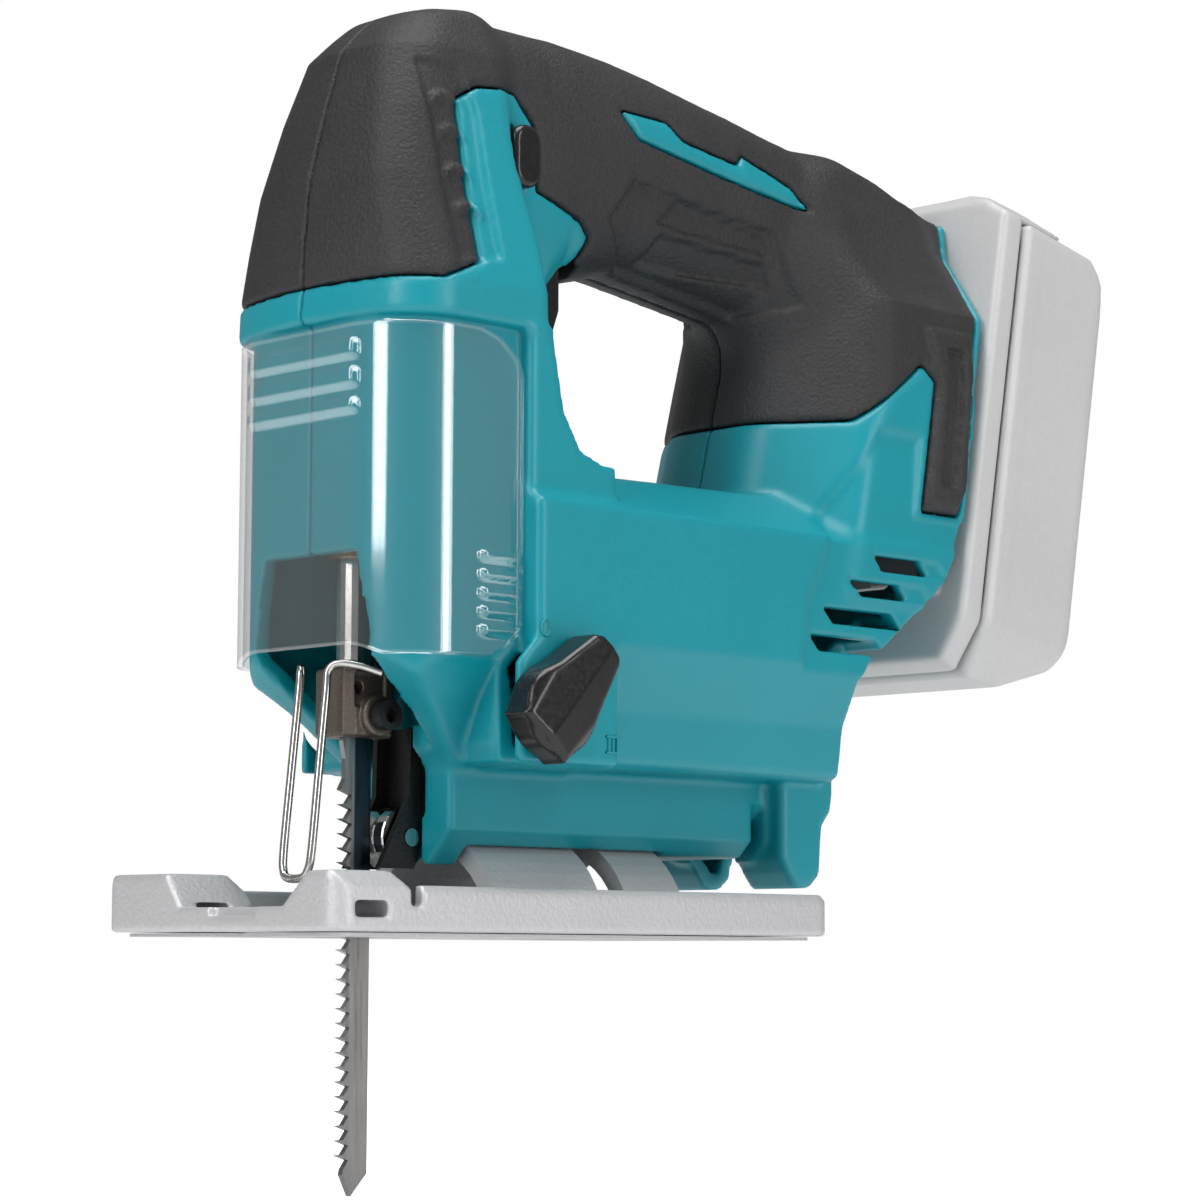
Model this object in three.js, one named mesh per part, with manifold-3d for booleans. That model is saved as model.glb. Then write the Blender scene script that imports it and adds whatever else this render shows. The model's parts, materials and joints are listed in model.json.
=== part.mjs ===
// Cordless D-handle jigsaw, built as separate pieces.
// Millimetres, +Z up. The origin is on the underside of the sole, at the middle of the base.
// +X points to the battery, the blade is at -X, and the tool's left side is at -Y.
import * as THREE from 'three';
import { mergeVertices } from 'three/addons/utils/BufferGeometryUtils.js';
import Module from 'manifold-3d';

const wasm = await Module();
wasm.setup();

// ---------------------------------------------------------------- driving dimensions
const GAP = 0.3;                 // clearance between neighbouring pieces
const BASE_HALF_LENGTH = 72.5;
const BASE_HALF_WIDTH = 38.5;
const SOLE_THICKNESS = 0.8;
const FLOOR_TOP = 4;             // upper face of the base plate's floor
const RIM_TOP = 10.2;
const BOSS_TOP = 13;
const DOME_RADIUS = 23;          // half round base mount, centred on the bevel axis
const DOME_FROM = -15;
const DOME_TO = 41.5;
const HEAD_FRONT = -52.6;
const HEAD_HALF_WIDTH = 32.8;
const GRIP_THICKNESS = 2;
const WALL = 4.6;                // outer face to inner face of the clamshell
const BLADE_BACK = -32.1;        // x of the blade's back edge
const ROD_X = -36;
const CLAMP_SCREW_Z = 46.4;
const STROKE = 26;
const CRANK_RADIUS = STROKE / 2;
const MOTOR_Z = 77;
const PINION_TEETH = 10;
const GEAR_TEETH = 45;
const GEAR_MODULE = 1;
const GEAR_Z = MOTOR_Z + GEAR_MODULE * (PINION_TEETH + GEAR_TEETH) / 2;
const LEVER_X = -16.5;
const LEVER_Z = 47;
const BATTERY_TILT = THREE.MathUtils.degToRad(10);

// ---------------------------------------------------------------- materials
function plastic(color, roughness) {
  return new THREE.MeshStandardMaterial({ color, roughness, metalness: 0 });
}

function metal(color, roughness) {
  return new THREE.MeshStandardMaterial({ color, roughness, metalness: 1 });
}

const teal = plastic(0x008c9a, 0.45);
const softBlack = plastic(0x353437, 0.8);
const glossBlack = plastic(0x151517, 0.25);
const paleGrey = plastic(0xb9b9b9, 0.5);
const clearPlastic = new THREE.MeshStandardMaterial({
  color: 0xe8f4f5, roughness: 0.05, metalness: 0, transparent: true, opacity: 0.35,
});
const castAluminium = metal(0xb4b5b6, 0.55);
const brightSteel = metal(0xcfcac2, 0.2);
const sinteredSteel = metal(0x6d6359, 0.5);
const blackSteel = metal(0x232325, 0.4);
const bladeSteel = metal(0x5e5a56, 0.35);
const copper = metal(0xb87333, 0.4);
const boardGreen = plastic(0x1f6b3a, 0.5);
const cellBlue = plastic(0x3a6ea5, 0.4);

// ---------------------------------------------------------------- solids and booleans
function toSolid(geometry) {
  const bare = geometry.index ? geometry.toNonIndexed() : geometry.clone();
  bare.deleteAttribute('normal');
  bare.deleteAttribute('uv');
  const merged = mergeVertices(bare, 1e-3);
  return new wasm.Manifold(new wasm.Mesh({
    numProp: 3,
    vertProperties: new Float32Array(merged.attributes.position.array),
    triVerts: new Uint32Array(merged.index.array),
  }));
}

function toGeometry(solid) {
  const mesh = solid.getMesh();
  const geometry = new THREE.BufferGeometry();
  geometry.setAttribute('position', new THREE.BufferAttribute(mesh.vertProperties, 3));
  geometry.setIndex(new THREE.BufferAttribute(mesh.triVerts, 1));
  return geometry;
}

function join(first, ...others) {
  return others.reduce((solid, other) => solid.add(other), first);
}

function cut(first, ...others) {
  return others.reduce((solid, other) => solid.subtract(other), first);
}

const jigsaw = new THREE.Group();

function addPart(name, solid, material) {
  const mesh = new THREE.Mesh(toGeometry(solid), material);
  mesh.name = name;
  jigsaw.add(mesh);
}

// ---------------------------------------------------------------- shape helpers
function block(x0, x1, y0, y1, z0, z1) {
  const geometry = new THREE.BoxGeometry(x1 - x0, y1 - y0, z1 - z0);
  geometry.translate((x0 + x1) / 2, (y0 + y1) / 2, (z0 + z1) / 2);
  return toSolid(geometry);
}

function outline(points) {
  return new THREE.Shape(points.map(([a, b]) => new THREE.Vector2(a, b)));
}

// A side outline of [x, z] points carried from y0 to y1.
function sideSlab(points, y0, y1) {
  const geometry = new THREE.ExtrudeGeometry(outline(points), { depth: y1 - y0, bevelEnabled: false });
  geometry.rotateX(Math.PI / 2);
  geometry.translate(0, y1, 0);
  return toSolid(geometry);
}

// A front outline of [y, z] points carried from x0 to x1.
function frontSlab(points, x0, x1) {
  const geometry = new THREE.ExtrudeGeometry(outline(points), { depth: x1 - x0, bevelEnabled: false });
  const turn = new THREE.Matrix4().makeBasis(
    new THREE.Vector3(0, 1, 0),
    new THREE.Vector3(0, 0, 1),
    new THREE.Vector3(1, 0, 0),
  );
  geometry.applyMatrix4(turn);
  geometry.translate(x0, 0, 0);
  return toSolid(geometry);
}

// A plan outline of [x, y] points carried from z0 to z1.
function planSlab(points, z0, z1) {
  const geometry = new THREE.ExtrudeGeometry(outline(points), { depth: z1 - z0, bevelEnabled: false });
  geometry.translate(0, 0, z0);
  return toSolid(geometry);
}

function mirrored(points) {
  const far = points.map(([y, z]) => [-y, z]).reverse();
  return [...points, ...far];
}

// A round bar along one axis, from its start point over a length.
function bar(axis, radius, start, length, sides = 24) {
  const geometry = new THREE.CylinderGeometry(radius, radius, length, sides);
  geometry.translate(0, length / 2, 0);
  if (axis === 'x') geometry.rotateZ(-Math.PI / 2);
  if (axis === 'z') geometry.rotateX(Math.PI / 2);
  geometry.translate(...start);
  return toSolid(geometry);
}

// A plan outline with rounded corners.
function roundedPlan(x0, x1, halfWidth, frontRadius, rearRadius) {
  const shape = new THREE.Shape();
  shape.absarc(x0 + frontRadius, -halfWidth + frontRadius, frontRadius, Math.PI, 1.5 * Math.PI);
  shape.absarc(x1 - rearRadius, -halfWidth + rearRadius, rearRadius, 1.5 * Math.PI, 2 * Math.PI);
  shape.absarc(x1 - rearRadius, halfWidth - rearRadius, rearRadius, 0, 0.5 * Math.PI);
  shape.absarc(x0 + frontRadius, halfWidth - frontRadius, frontRadius, 0.5 * Math.PI, Math.PI);
  return shape;
}

// Height of a broken line of [position, value] points at one position.
function along(line, position) {
  const next = line.findIndex(([at]) => at >= position);
  if (next <= 0) return next === 0 ? line[0][1] : line[line.length - 1][1];
  const [a, va] = line[next - 1];
  const [b, vb] = line[next];
  return va + (vb - va) * (position - a) / (b - a);
}

// ---------------------------------------------------------------- outer form of the tool
// Each form takes an inset, so that the same outline gives the skin, the skin under the grip
// and the hollow.
const headFront = [[128.5, HEAD_FRONT], [137, -52.3], [148, -51.6], [160, -50.5], [176, -46.4], [190, -42],
  [199, -33], [203, -20]];
const headWidth = [[128.5, HEAD_HALF_WIDTH], [138, 32.4], [150, 29.5], [163, 26], [177, 22.5], [190, 18.5],
  [199, 12], [203, 7]];
const headRear = [[128.5, -9], [150, -9], [165, -11], [180, -13], [203, -13]];

function headForm(inset) {
  const plan = roundedPlan(0, 1, 1, 0.42, 0.12);
  const bottom = 128.5;
  const top = 203 - inset;
  const geometry = new THREE.ExtrudeGeometry(plan, {
    depth: top - bottom, steps: 10, bevelEnabled: false, curveSegments: 4,
  });
  const position = geometry.attributes.position;
  for (let i = 0; i < position.count; i += 1) {
    const z = bottom + position.getZ(i);
    const front = along(headFront, z + inset * 0.5) + inset;
    const rear = along(headRear, z) - inset;
    const half = along(headWidth, z + inset * 0.5) - inset;
    position.setXYZ(i, front + position.getX(i) * (rear - front), position.getY(i) * half, z);
  }
  return toSolid(geometry);
}

const handleTop = [[-34, 196], [-14, 203], [12, 203], [28, 201.8], [42, 200], [55, 197.8], [68, 195.6],
  [81, 192.9], [102, 189.3], [111.5, 185.6], [120, 181.9], [128, 179.8], [140, 178.6]];
const handleBottom = [[-34, 134], [6, 137], [13, 146], [32, 151], [46, 149.2], [67, 146.4], [82, 144],
  [94, 138], [146, 120]];
const handleWidth = [[-34, 17], [60, 16.8], [80, 18], [100, 20], [120, 24], [146, 28]];

function handleForm(inset) {
  const ring = new THREE.Shape();
  const sides = 20;
  for (let i = 0; i < sides; i += 1) {
    const angle = 2 * Math.PI * i / sides;
    const squareness = 0.75;
    const u = Math.sign(Math.cos(angle)) * Math.abs(Math.cos(angle)) ** squareness;
    const v = Math.sign(Math.sin(angle)) * Math.abs(Math.sin(angle)) ** squareness;
    if (i === 0) ring.moveTo(u, v);
    else ring.lineTo(u, v);
  }
  ring.closePath();
  const from = -34 + inset;
  const to = 130;
  const geometry = new THREE.ExtrudeGeometry(ring, { depth: to - from, steps: 14, bevelEnabled: false });
  const position = geometry.attributes.position;
  for (let i = 0; i < position.count; i += 1) {
    const x = from + position.getZ(i);
    const top = along(handleTop, x) - inset;
    const bottom = along(handleBottom, x) + inset;
    const half = along(handleWidth, x) - inset;
    const y = position.getX(i) * half;
    position.setXYZ(i, x, y, (top + bottom) / 2 + position.getY(i) * (top - bottom) / 2);
  }
  return toSolid(geometry);
}

// The rear post and the battery mount. Its narrow nose leans back with height, and its flanks sweep
// out from the nose to the full width.
const NOSE_FOOT = 105;
const NOSE_X = 68.3;
const NOSE_HALF_WIDTH = 12.7;
const NOSE_LEAN = 0.255;

function rearForm(inset) {
  const side = sideSlab([
    [66, 104], [66, 150], [86, 176], [100, 189.5 - inset], [111.5, 185.6 - inset],
    [128, 179.8 - inset], [140.2 - inset, 178.4 - inset], [134.9 - inset, 151], [129.8 - inset, 133],
    [125.8 - inset, 106.5], [123.9 - inset, 97], [117 - inset, 85], [108, 78], [80, 78],
  ], -40, 40);
  const front = frontSlab(mirrored([
    [0, 192 - inset], [9 - inset, 190 - inset], [16 - inset, 183 - inset], [20 - inset, 168 - inset],
    [33.4 - inset, 151 - inset], [35.2 - inset, 133], [36 - inset, 96], [36 - inset, 70], [0, 70],
  ]), 60, 150);
  const nose = NOSE_X + inset;
  const half = NOSE_HALF_WIDTH - 0.6 * inset;
  const flank = 36 - inset;
  const plan = new THREE.ExtrudeGeometry(outline([
    [nose, -half], [nose + 13, -27 + inset], [nose + 20, -flank], [160, -flank], [160, flank],
    [nose + 20, flank], [nose + 13, 27 - inset], [nose, half],
  ]), { depth: 125, bevelEnabled: false });
  plan.translate(0, 0, 70 - NOSE_FOOT);
  plan.applyMatrix4(new THREE.Matrix4().makeShear(0, 0, 0, 0, NOSE_LEAN, 0));
  plan.translate(0, 0, NOSE_FOOT);
  return side.intersect(front).intersect(toSolid(plan));
}

function bodyForm(inset) {
  const front = -16.5 + inset;
  const rear = Math.max(-9.5 - inset, front + 1);
  const side = sideSlab([
    [-22.5 + inset, 40 + inset], [-22.5 + inset, 57], [front, 62.5], [front, 129],
    [rear, 129], [rear + 3.5, 112], [rear + 8.5, 104 - inset], [6, 101.5 - inset], [60, 103 - inset],
    [80, 105.5 - inset], [125.8 - inset, 106 - inset], [123.9 - inset, 96.6], [116.5 - inset, 84.6],
    [110.2 - inset, 78.5], [92 - inset, 64.4], [86.5 - inset, 59.6], [86.5 - inset, 36 + inset],
    [-18, 36 + inset],
  ], -40, 40);
  const section = frontSlab(mirrored([
    [0, 104 - inset], [20, 102.6 - inset], [36.2 - inset, 92], [36.2 - inset, 62.5], [30 - inset, 49],
    [28.5 - inset, 38], [26 - inset, 36.1 + inset], [0, 36 + inset],
  ]), -40, 150);
  const neckWalls = planSlab([
    [-16.5 + inset, -HEAD_HALF_WIDTH + inset], [10 - inset, -HEAD_HALF_WIDTH + inset],
    [10 - inset, HEAD_HALF_WIDTH - inset], [-16.5 + inset, HEAD_HALF_WIDTH - inset],
  ], 40 + inset, 131);
  return side.intersect(join(section, neckWalls));
}

// Raised panels for the change lever, the same on both sides.
function panelForm() {
  const section = frontSlab(mirrored([[0, 68], [36.2, 68], [36.2, 36.4], [27, 36.1], [0, 36.1]]), -21.7, 6.8);
  return section.intersect(sideSlab([
    [-21.7, 36], [-21.7, 57.5], [-16.2, 63.5], [-16.2, 68], [6.8, 68], [6.8, 36],
  ], -40, 40));
}

// The core behind the dust cover, which narrows below the cover like a funnel.
function coreForm(inset) {
  const side = sideSlab([
    [-49.6 + inset, 132], [-49.6 + inset, 60 + inset], [-44, 55 + inset], [-33, 46 + inset],
    [-23.5, 36 + inset], [-10, 36 + inset], [-10, 132],
  ], -40, 40);
  const plan = new THREE.ExtrudeGeometry(roundedPlan(-49.6 + inset, -10, 29.6 - inset, 16, 1), {
    depth: 100, bevelEnabled: false, curveSegments: 5,
  });
  plan.translate(0, 0, 34);
  const front = frontSlab(mirrored([
    [0, 132], [29.6 - inset, 132], [29.6 - inset, 58], [24 - inset, 50], [16.5 - inset, 34 + inset],
    [0, 34 + inset],
  ]), -60, 0);
  return side.intersect(toSolid(plan)).intersect(front);
}

// The narrow lower body over the base, with the two front legs and the rear feet.
function lowerForm() {
  const neck = sideSlab([
    [-23.5, 15.2], [-23.5, 37], [88, 37], [88, 18.7], [DOME_FROM - 0.7, 18.7], [DOME_FROM - 0.7, 15.2],
  ], -16.5, 16.5);
  const keep = frontSlab(mirrored([[0, 40], [16.5, 40], [16.5, 22.7], [9.5, 15.3], [0, 15.2]]), -40, 100);
  const feet = sideSlab([
    [73.8, 37], [73.8, 19], [76, 15.5], [79, 12], [83.8, 12.2], [87, 15], [88, 26.4], [91, 30], [91.6, 34],
    [91.6, 56], [84, 60],
  ], -22, 22);
  // Room above the base's rear rim when the base is tilted 45 degrees.
  const tiltRoom = frontSlab([[2.6, 18], [17, 18], [17, 32.4]], 68.9, 73.7);
  const tiltRoomFar = frontSlab([[-2.6, 18], [-17, 32.4], [-17, 18]], 68.9, 73.7);
  return join(cut(neck.intersect(keep), tiltRoom, tiltRoomFar), feet);
}

const skin = join(headForm(0), handleForm(0), rearForm(0), bodyForm(0), panelForm(), coreForm(0), lowerForm());
const underGrip = join(headForm(2.3), handleForm(2.3), rearForm(2.3), bodyForm(2.3));
const gripInside = join(headForm(GRIP_THICKNESS), handleForm(GRIP_THICKNESS), rearForm(GRIP_THICKNESS));

// The soft overmould's area in side view, with its teal window round the lock-off button.
function gripArea(grow) {
  const area = sideSlab([
    [-60, 136.5 - grow], [-40, 136.5 - grow], [-28.5 + grow, 141.5 - grow], [-28.5 + grow, 178 - grow],
    [-22, 182 - grow], [-6, 184.5 - grow], [-0.5 - grow, 178], [0.5 - grow, 163.7 - grow],
    [15, 159.6 - grow], [19 - grow, 156.4], [17.6 - grow, 152], [13.6 - grow, 146], [13.6 - grow, 140],
    [62, 120.5 - grow], [88.8, 121.2 - grow], [109.8, 136.7 - grow], [114 - grow, 133 - grow],
    [108.2 - grow, 101.2 - grow], [121.6 + grow, 101.2 - grow], [123.6 + grow, 106], [127 + grow, 133],
    [131.8 + grow, 151], [137.4 + grow, 180], [137.4 + grow, 215], [-60, 215],
  ], -45, 45);
  return area;
}

const grip = cut(skin.intersect(gripArea(-0.15)), gripInside, bodyForm(GRIP_THICKNESS));
const shell = join(cut(skin, gripArea(0.15)), underGrip.intersect(skin));

// The battery pack is drawn upright and then leaned back against the rear of the tool.
function placed(solid) {
  return solid.rotate([0, THREE.MathUtils.radToDeg(BATTERY_TILT), 0]).translate([126.6, 0, 64.5]);
}

// ---------------------------------------------------------------- hollows in the clamshell
const hollowHead = headForm(WALL);
const hollowHandle = cut(handleForm(WALL), block(118, 160, -40, 40, 90, 200));
const hollowBody = cut(bodyForm(WALL), block(-60, 100, -40, 40, 20, 44));
const hollowRear = cut(rearForm(WALL), block(100, 160, -40, 40, 60, 104));
const plungerWay = frontSlab(mirrored([
  [0, 80], [15, 80], [19, 62], [14, 40], [6.5, 30], [0, 30],
]), -52, -27);
const gearRoom = join(
  coreForm(WALL).intersect(block(-60, -10, -40, 40, 85.3, 129)),
  bar('x', 24.3, [-25.6, 0, GEAR_Z], 13.4, 36),
  bar('x', 7, [-25.6, 0, MOTOR_Z], 13.4, 20),
  bar('x', 3, [-14, 0, MOTOR_Z], 8, 16),
);
const rollerWay = join(block(-30, DOME_FROM, -6.9, 6.9, 10, 36), block(-27, -17.5, -8.2, 8.2, 26, 46.5));
const domeSeat = bar('x', DOME_RADIUS + 0.45, [DOME_FROM - 0.7, 0, 0], DOME_TO - DOME_FROM + 1.6, 48);
const coverSlots = [-32.6, 30].map((y) => block(-23, -16.6, y, y + 2.6, 30, 66));
const triggerSlot = block(-8, 19.5, -9.8, 9.8, 128, 166);
const lockOffHole = block(-13, -3.4, -40, 40, 161.4, 176.6);
const leverHole = bar('y', 5.3, [LEVER_X, -40, LEVER_Z], 30, 20);
const ventCount = 4;
const ventSlots = [];
for (let row = 0; row < ventCount; row += 1) {
  const z = 66.4 + row * 6.6;
  const x = 69.5 + row * 6.6;
  ventSlots.push(block(x, x + 20, -40, 40, z, z + 3.4));
}
const footChannel = block(70, 95, -7, 7, 8, 24);
const trapBolt = bar('z', 3.4, [20, 0, 10], 24, 16);
const mountPocket = placed(block(-16.6, 20, -28.3, 28.3, -30, 84));
const mountRails = [-28.6, 25].map((y) => placed(block(-10.6, -7.8, y, y + 3.6, -20, 84)));

let clamshell = cut(
  shell, hollowHead, hollowHandle, hollowBody, hollowRear, plungerWay, rollerWay, gearRoom, domeSeat,
  triggerSlot,
  lockOffHole, leverHole, footChannel, trapBolt, mountPocket,
);
clamshell = cut(clamshell, ...ventSlots, ...coverSlots);

// Ribs that carry the bearings, the bushes and the gear axle.
function rib(x0, x1, half, z0, z1, holes) {
  return cut(block(x0, x1, -half, half, z0, z1), ...holes);
}
const frontRib = rib(4, 9, 31, 45, 101, [bar('x', 8.3, [3, 0, MOTOR_Z], 8, 24)]);
const rearRib = rib(82, 87, 31, 60, 101, [bar('x', 8.3, [81, 0, MOTOR_Z], 8, 24)]);
const gearRib = rib(-12.4, -8, 28, 94, 128, [bar('x', 8.3, [-13, 0, GEAR_Z], 6, 24)]);
const rodRibTop = rib(-48, -26, 27, 124.8, 130, [bar('z', 6.3, [ROD_X, 0, 124], 8, 24)]);
clamshell = join(
  clamshell,
  ...mountRails.map((rail) => rail.intersect(shell)),
  ...[frontRib, rearRib, gearRib, rodRibTop].map((piece) => piece.intersect(shell)),
);
clamshell = cut(clamshell, bar('z', 6.3, [ROD_X, 0, 79], 8, 24));

const leftSide = block(-100, 200, -60, -0.15, -20, 260);
const rightSide = block(-100, 200, 0.15, 60, -20, 260);

// Keeps the largest connected body of a solid, as it is once its vertices are 32-bit numbers.
function largest(solid) {
  const bodies = toSolid(toGeometry(solid)).decompose();
  bodies.sort((a, b) => b.volume() - a.volume());
  return bodies[0];
}

const screwPlaces = [[-30, 186], [-17, 140], [63, 176], [112, 168], [99, 99], [79, 30]];
const screwLength = 26;
const screwHoles = screwPlaces.map(([x, z]) => bar('y', 2.3, [x, -14, z], 60, 12));
const screwHeads = screwPlaces.map(([x, z]) => bar('y', 4.2, [x, 13.6, z], 40, 12));
const screwPosts = screwPlaces.map(([x, z]) => bar('y', 5.2, [x, -16, z], 32, 12).intersect(shell));
clamshell = cut(join(clamshell, ...screwPosts), ...screwHoles, ...screwHeads);

addPart('housing_left', largest(clamshell.intersect(leftSide)), teal);
addPart('housing_right', largest(clamshell.intersect(rightSide)), teal);
const gripCut = cut(grip, lockOffHole, triggerSlot, ...screwHeads, mountPocket);
addPart('grip_left', largest(gripCut.intersect(leftSide)), softBlack);
addPart('grip_right', largest(gripCut.intersect(rightSide)), softBlack);

screwPlaces.forEach(([x, z], i) => {
  const shank = bar('y', 2, [x, 13.7 - screwLength, z], screwLength + 0.2, 12);
  const head = bar('y', 3.8, [x, 13.9, z], 2.4, 16);
  const socket = bar('y', 1.6, [x, 14.9, z], 3, 6);
  addPart(`housing_screw_${i + 1}`, cut(join(shank, head), socket), blackSteel);
});

// ---------------------------------------------------------------- dust cover
const coverOuter = new THREE.ExtrudeGeometry(roundedPlan(-52, -17, 32.2, 18, 0.6), {
  depth: 69.5, bevelEnabled: false, curveSegments: 6,
});
coverOuter.translate(0, 0, 58);
const coverInner = new THREE.ExtrudeGeometry(roundedPlan(-50.6, -10, 30.7, 16.6, 0.6), {
  depth: 90, bevelEnabled: false, curveSegments: 6,
});
coverInner.translate(0, 0, 50);
const coverSideShape = sideSlab([
  [-53, 62], [-49, 57.6], [-28, 57.6], [-20.5, 61], [-17, 66], [-17, 117], [-19, 122], [-24, 126],
  [-29, 127.5], [-53, 127.5],
], -40, 40);
const coverShell = cut(toSolid(coverOuter), toSolid(coverInner)).intersect(coverSideShape);
addPart('dust_cover', coverShell, clearPlastic);

// ---------------------------------------------------------------- wire guard
const wireHalf = [
  [-40, 13.5, 54.9], [-43, 10, 56.4], [-46, 6.2, 57], [-47.4, 4.6, 55.4], [-47.8, 4.5, 51], [-51.2, 4.6, 18.5],
  [-51.7, 4, 13.8], [-51.9, 2.2, 12.2],
];
const wireFar = wireHalf.map(([x, y, z]) => [x, -y, z]).reverse();
const wirePoints = [...wireHalf, ...wireFar].map(([x, y, z]) => new THREE.Vector3(x, y, z));
const wirePath = new THREE.CatmullRomCurve3(wirePoints, false, 'catmullrom', 0.3);
const wireSection = new THREE.Shape();
wireSection.absarc(0, 0, 0.9, 0, 2 * Math.PI);
const wireGeometry = new THREE.ExtrudeGeometry(wireSection, {
  extrudePath: wirePath, steps: 70, bevelEnabled: false, curveSegments: 4,
});
const wire = toSolid(wireGeometry);
addPart('wire_guard', cut(wire, skin.intersect(block(-60, -38, -30, 30, 40, 70))), brightSteel);

// ---------------------------------------------------------------- plunger, clamp and blade
const clampBottom = 42;
const clampTop = 56.5;
const rodBottom = clampTop - 3.5;
const rodTop = 142;
const crankPinDrop = 10;                       // the pin stands 10 mm below the gear's centre at rest
const crankPinZ = GEAR_Z - crankPinDrop;
const crankPinY = Math.sqrt(CRANK_RADIUS ** 2 - crankPinDrop ** 2);
addPart('plunger_rod', bar('z', 4.5, [ROD_X, 0, rodBottom + 0.1], rodTop - rodBottom, 20), brightSteel);

const yokeBody = block(-42, -29.6, -18.5, 18.5, crankPinZ - 6, crankPinZ + 6);
const yokeWay = block(-30.9, -28, -16.5, 16.5, crankPinZ - 3.6, crankPinZ + 3.6);
const yokeBore = bar('z', 4.8, [ROD_X, 0, crankPinZ - 8], 16, 20);
const yokeTrim = [-20, 8].map((y) => block(-44, -33, y, y + 12, 80, 110));
addPart('yoke', cut(yokeBody, yokeWay, yokeBore, ...yokeTrim), sinteredSteel);

const clampBlock = planSlab([
  [-43.6, -5], [-41.6, -6.6], [-31.5, -6.6], [-29.5, -4], [-29.5, 4.6], [-31, 6.2], [-41.6, 6.2], [-43.6, 4],
], clampBottom, clampTop);
const bladeSlot = block(-40.3, -31.7, -1.2, 1.2, clampBottom - 1, clampTop - 5);
const rodSocket = bar('z', 4.8, [ROD_X, 0, clampTop - 3.7], 5, 20);
const clampHole = bar('y', 1.3, [-40.3, -9, 52.3], 6, 12);
const screwBoss = bar('y', 4.4, [ROD_X, -8.4, CLAMP_SCREW_Z], 5, 16);
const screwBore = bar('y', 2.4, [ROD_X, -12, CLAMP_SCREW_Z], 10.5, 16);
const clampBody = cut(join(clampBlock, screwBoss), bladeSlot, rodSocket, clampHole, screwBore);
addPart('blade_clamp', clampBody, sinteredSteel);

const screwHead = bar('y', 3.15, [ROD_X, -11.6, CLAMP_SCREW_Z], 2.9, 18);
const screwShank = bar('y', 2.05, [ROD_X, -9, CLAMP_SCREW_Z], 7.3, 14);
const screwHex = bar('y', 1.7, [ROD_X, -12.6, CLAMP_SCREW_Z], 3, 6);
addPart('clamp_screw', cut(join(screwHead, screwShank), screwHex), blackSteel);

const toothPitch = 3.05;
const firstTooth = 31;
const toothCount = 26;
const toothPoints = [];
for (let i = 0; i < toothCount; i += 1) {
  const z = firstTooth - i * toothPitch;
  toothPoints.push([-40.4, z], [-37.2, z - 1.1], [-38.6, z - toothPitch + 0.1]);
}
const bladeOutline = [
  [BLADE_BACK, 51], [-39.9, 51], [-39.9, 41.4], [-39.1, 37.6], [-39.1, 33.4], ...toothPoints,
  [-38.8, firstTooth - toothCount * toothPitch - 1], [-36.5, -53.8], [BLADE_BACK, -49.2], [BLADE_BACK, 37],
  [BLADE_BACK, 41.4],
];
addPart('blade', sideSlab(bladeOutline, -0.7, 0.7), bladeSteel);

// ---------------------------------------------------------------- roller guide behind the blade
const rollerX = BLADE_BACK + 6.7;
const rollerZ = 21.2;
const holderPlate = [
  [-34.2, 14.6], [-24.5, 14.6], [-19.2, 27], [-18.4, 44.6], [-25.6, 44.6], [-26, 30],
];
const holderSides = sideSlab(holderPlate, -6.2, 6.2);
const holderInside = cut(block(-40, -15, -4.8, 4.8, 10, 50), block(-22.4, -15, -5, 5, 28, 50));
const holderTop = block(-26.5, -18, -8, 8, 44.7, 50);
const holderBladeWay = block(-40, -30, -4.8, 4.8, 10, 50);
addPart('roller_holder', cut(
  holderSides, holderInside, holderTop, holderBladeWay, bar('y', 2.1, [rollerX, -8, rollerZ], 16, 16),
), blackSteel);
const rollerProfile = [[2.1, -4.2], [6.2, -4.2], [6.4, -3.9], [6.4, -1.3], [5.2, -0.7], [5.2, 0.7],
  [6.4, 1.3], [6.4, 3.9], [6.2, 4.2], [2.1, 4.2], [2.1, -4.2]];
const rollerGeometry = new THREE.LatheGeometry(rollerProfile.map(([r, h]) => new THREE.Vector2(r, h)), 24);
rollerGeometry.translate(rollerX, 0, rollerZ);
addPart('guide_roller', toSolid(rollerGeometry), brightSteel);
addPart('roller_pin', bar('y', 1.95, [rollerX, -6.5, rollerZ], 13, 16), brightSteel);

// ---------------------------------------------------------------- gear train and motor
function gearSolid(teeth, x0, x1, centreZ, phase, boreRadius) {
  const pitchRadius = GEAR_MODULE * teeth / 2;
  const root = pitchRadius - 1.25 * GEAR_MODULE;
  const tip = pitchRadius + 0.85 * GEAR_MODULE;
  const pitchAngle = 2 * Math.PI / teeth;
  const points = [];
  for (let i = 0; i < teeth; i += 1) {
    const middle = i * pitchAngle + phase;
    const steps = [[-0.30, root], [-0.14, tip], [0.14, tip], [0.30, root]];
    steps.forEach(([turn, radius]) => {
      const angle = middle + turn * pitchAngle;
      points.push([radius * Math.cos(angle), centreZ + radius * Math.sin(angle)]);
    });
  }
  return cut(frontSlab(points, x0, x1), bar('x', boreRadius, [x0 - 1, 0, centreZ], x1 - x0 + 2, 20));
}

const gearX0 = -23.4;
const gearX1 = -15.4;
const gearBody = gearSolid(GEAR_TEETH, gearX0, gearX1, GEAR_Z, -Math.PI / 2, 5.1);
const pinSocket = bar('x', 3.1, [gearX0 - 1, crankPinY, crankPinZ], 6, 16);
addPart('crank_gear', cut(gearBody, pinSocket), sinteredSteel);
addPart('crank_pin', bar('x', 2.8, [gearX0 - 5.7, crankPinY, crankPinZ], 10.4, 16), brightSteel);
addPart('gear_axle', bar('x', 4.9, [gearX0 + 1, 0, GEAR_Z], 14, 20), brightSteel);

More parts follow.
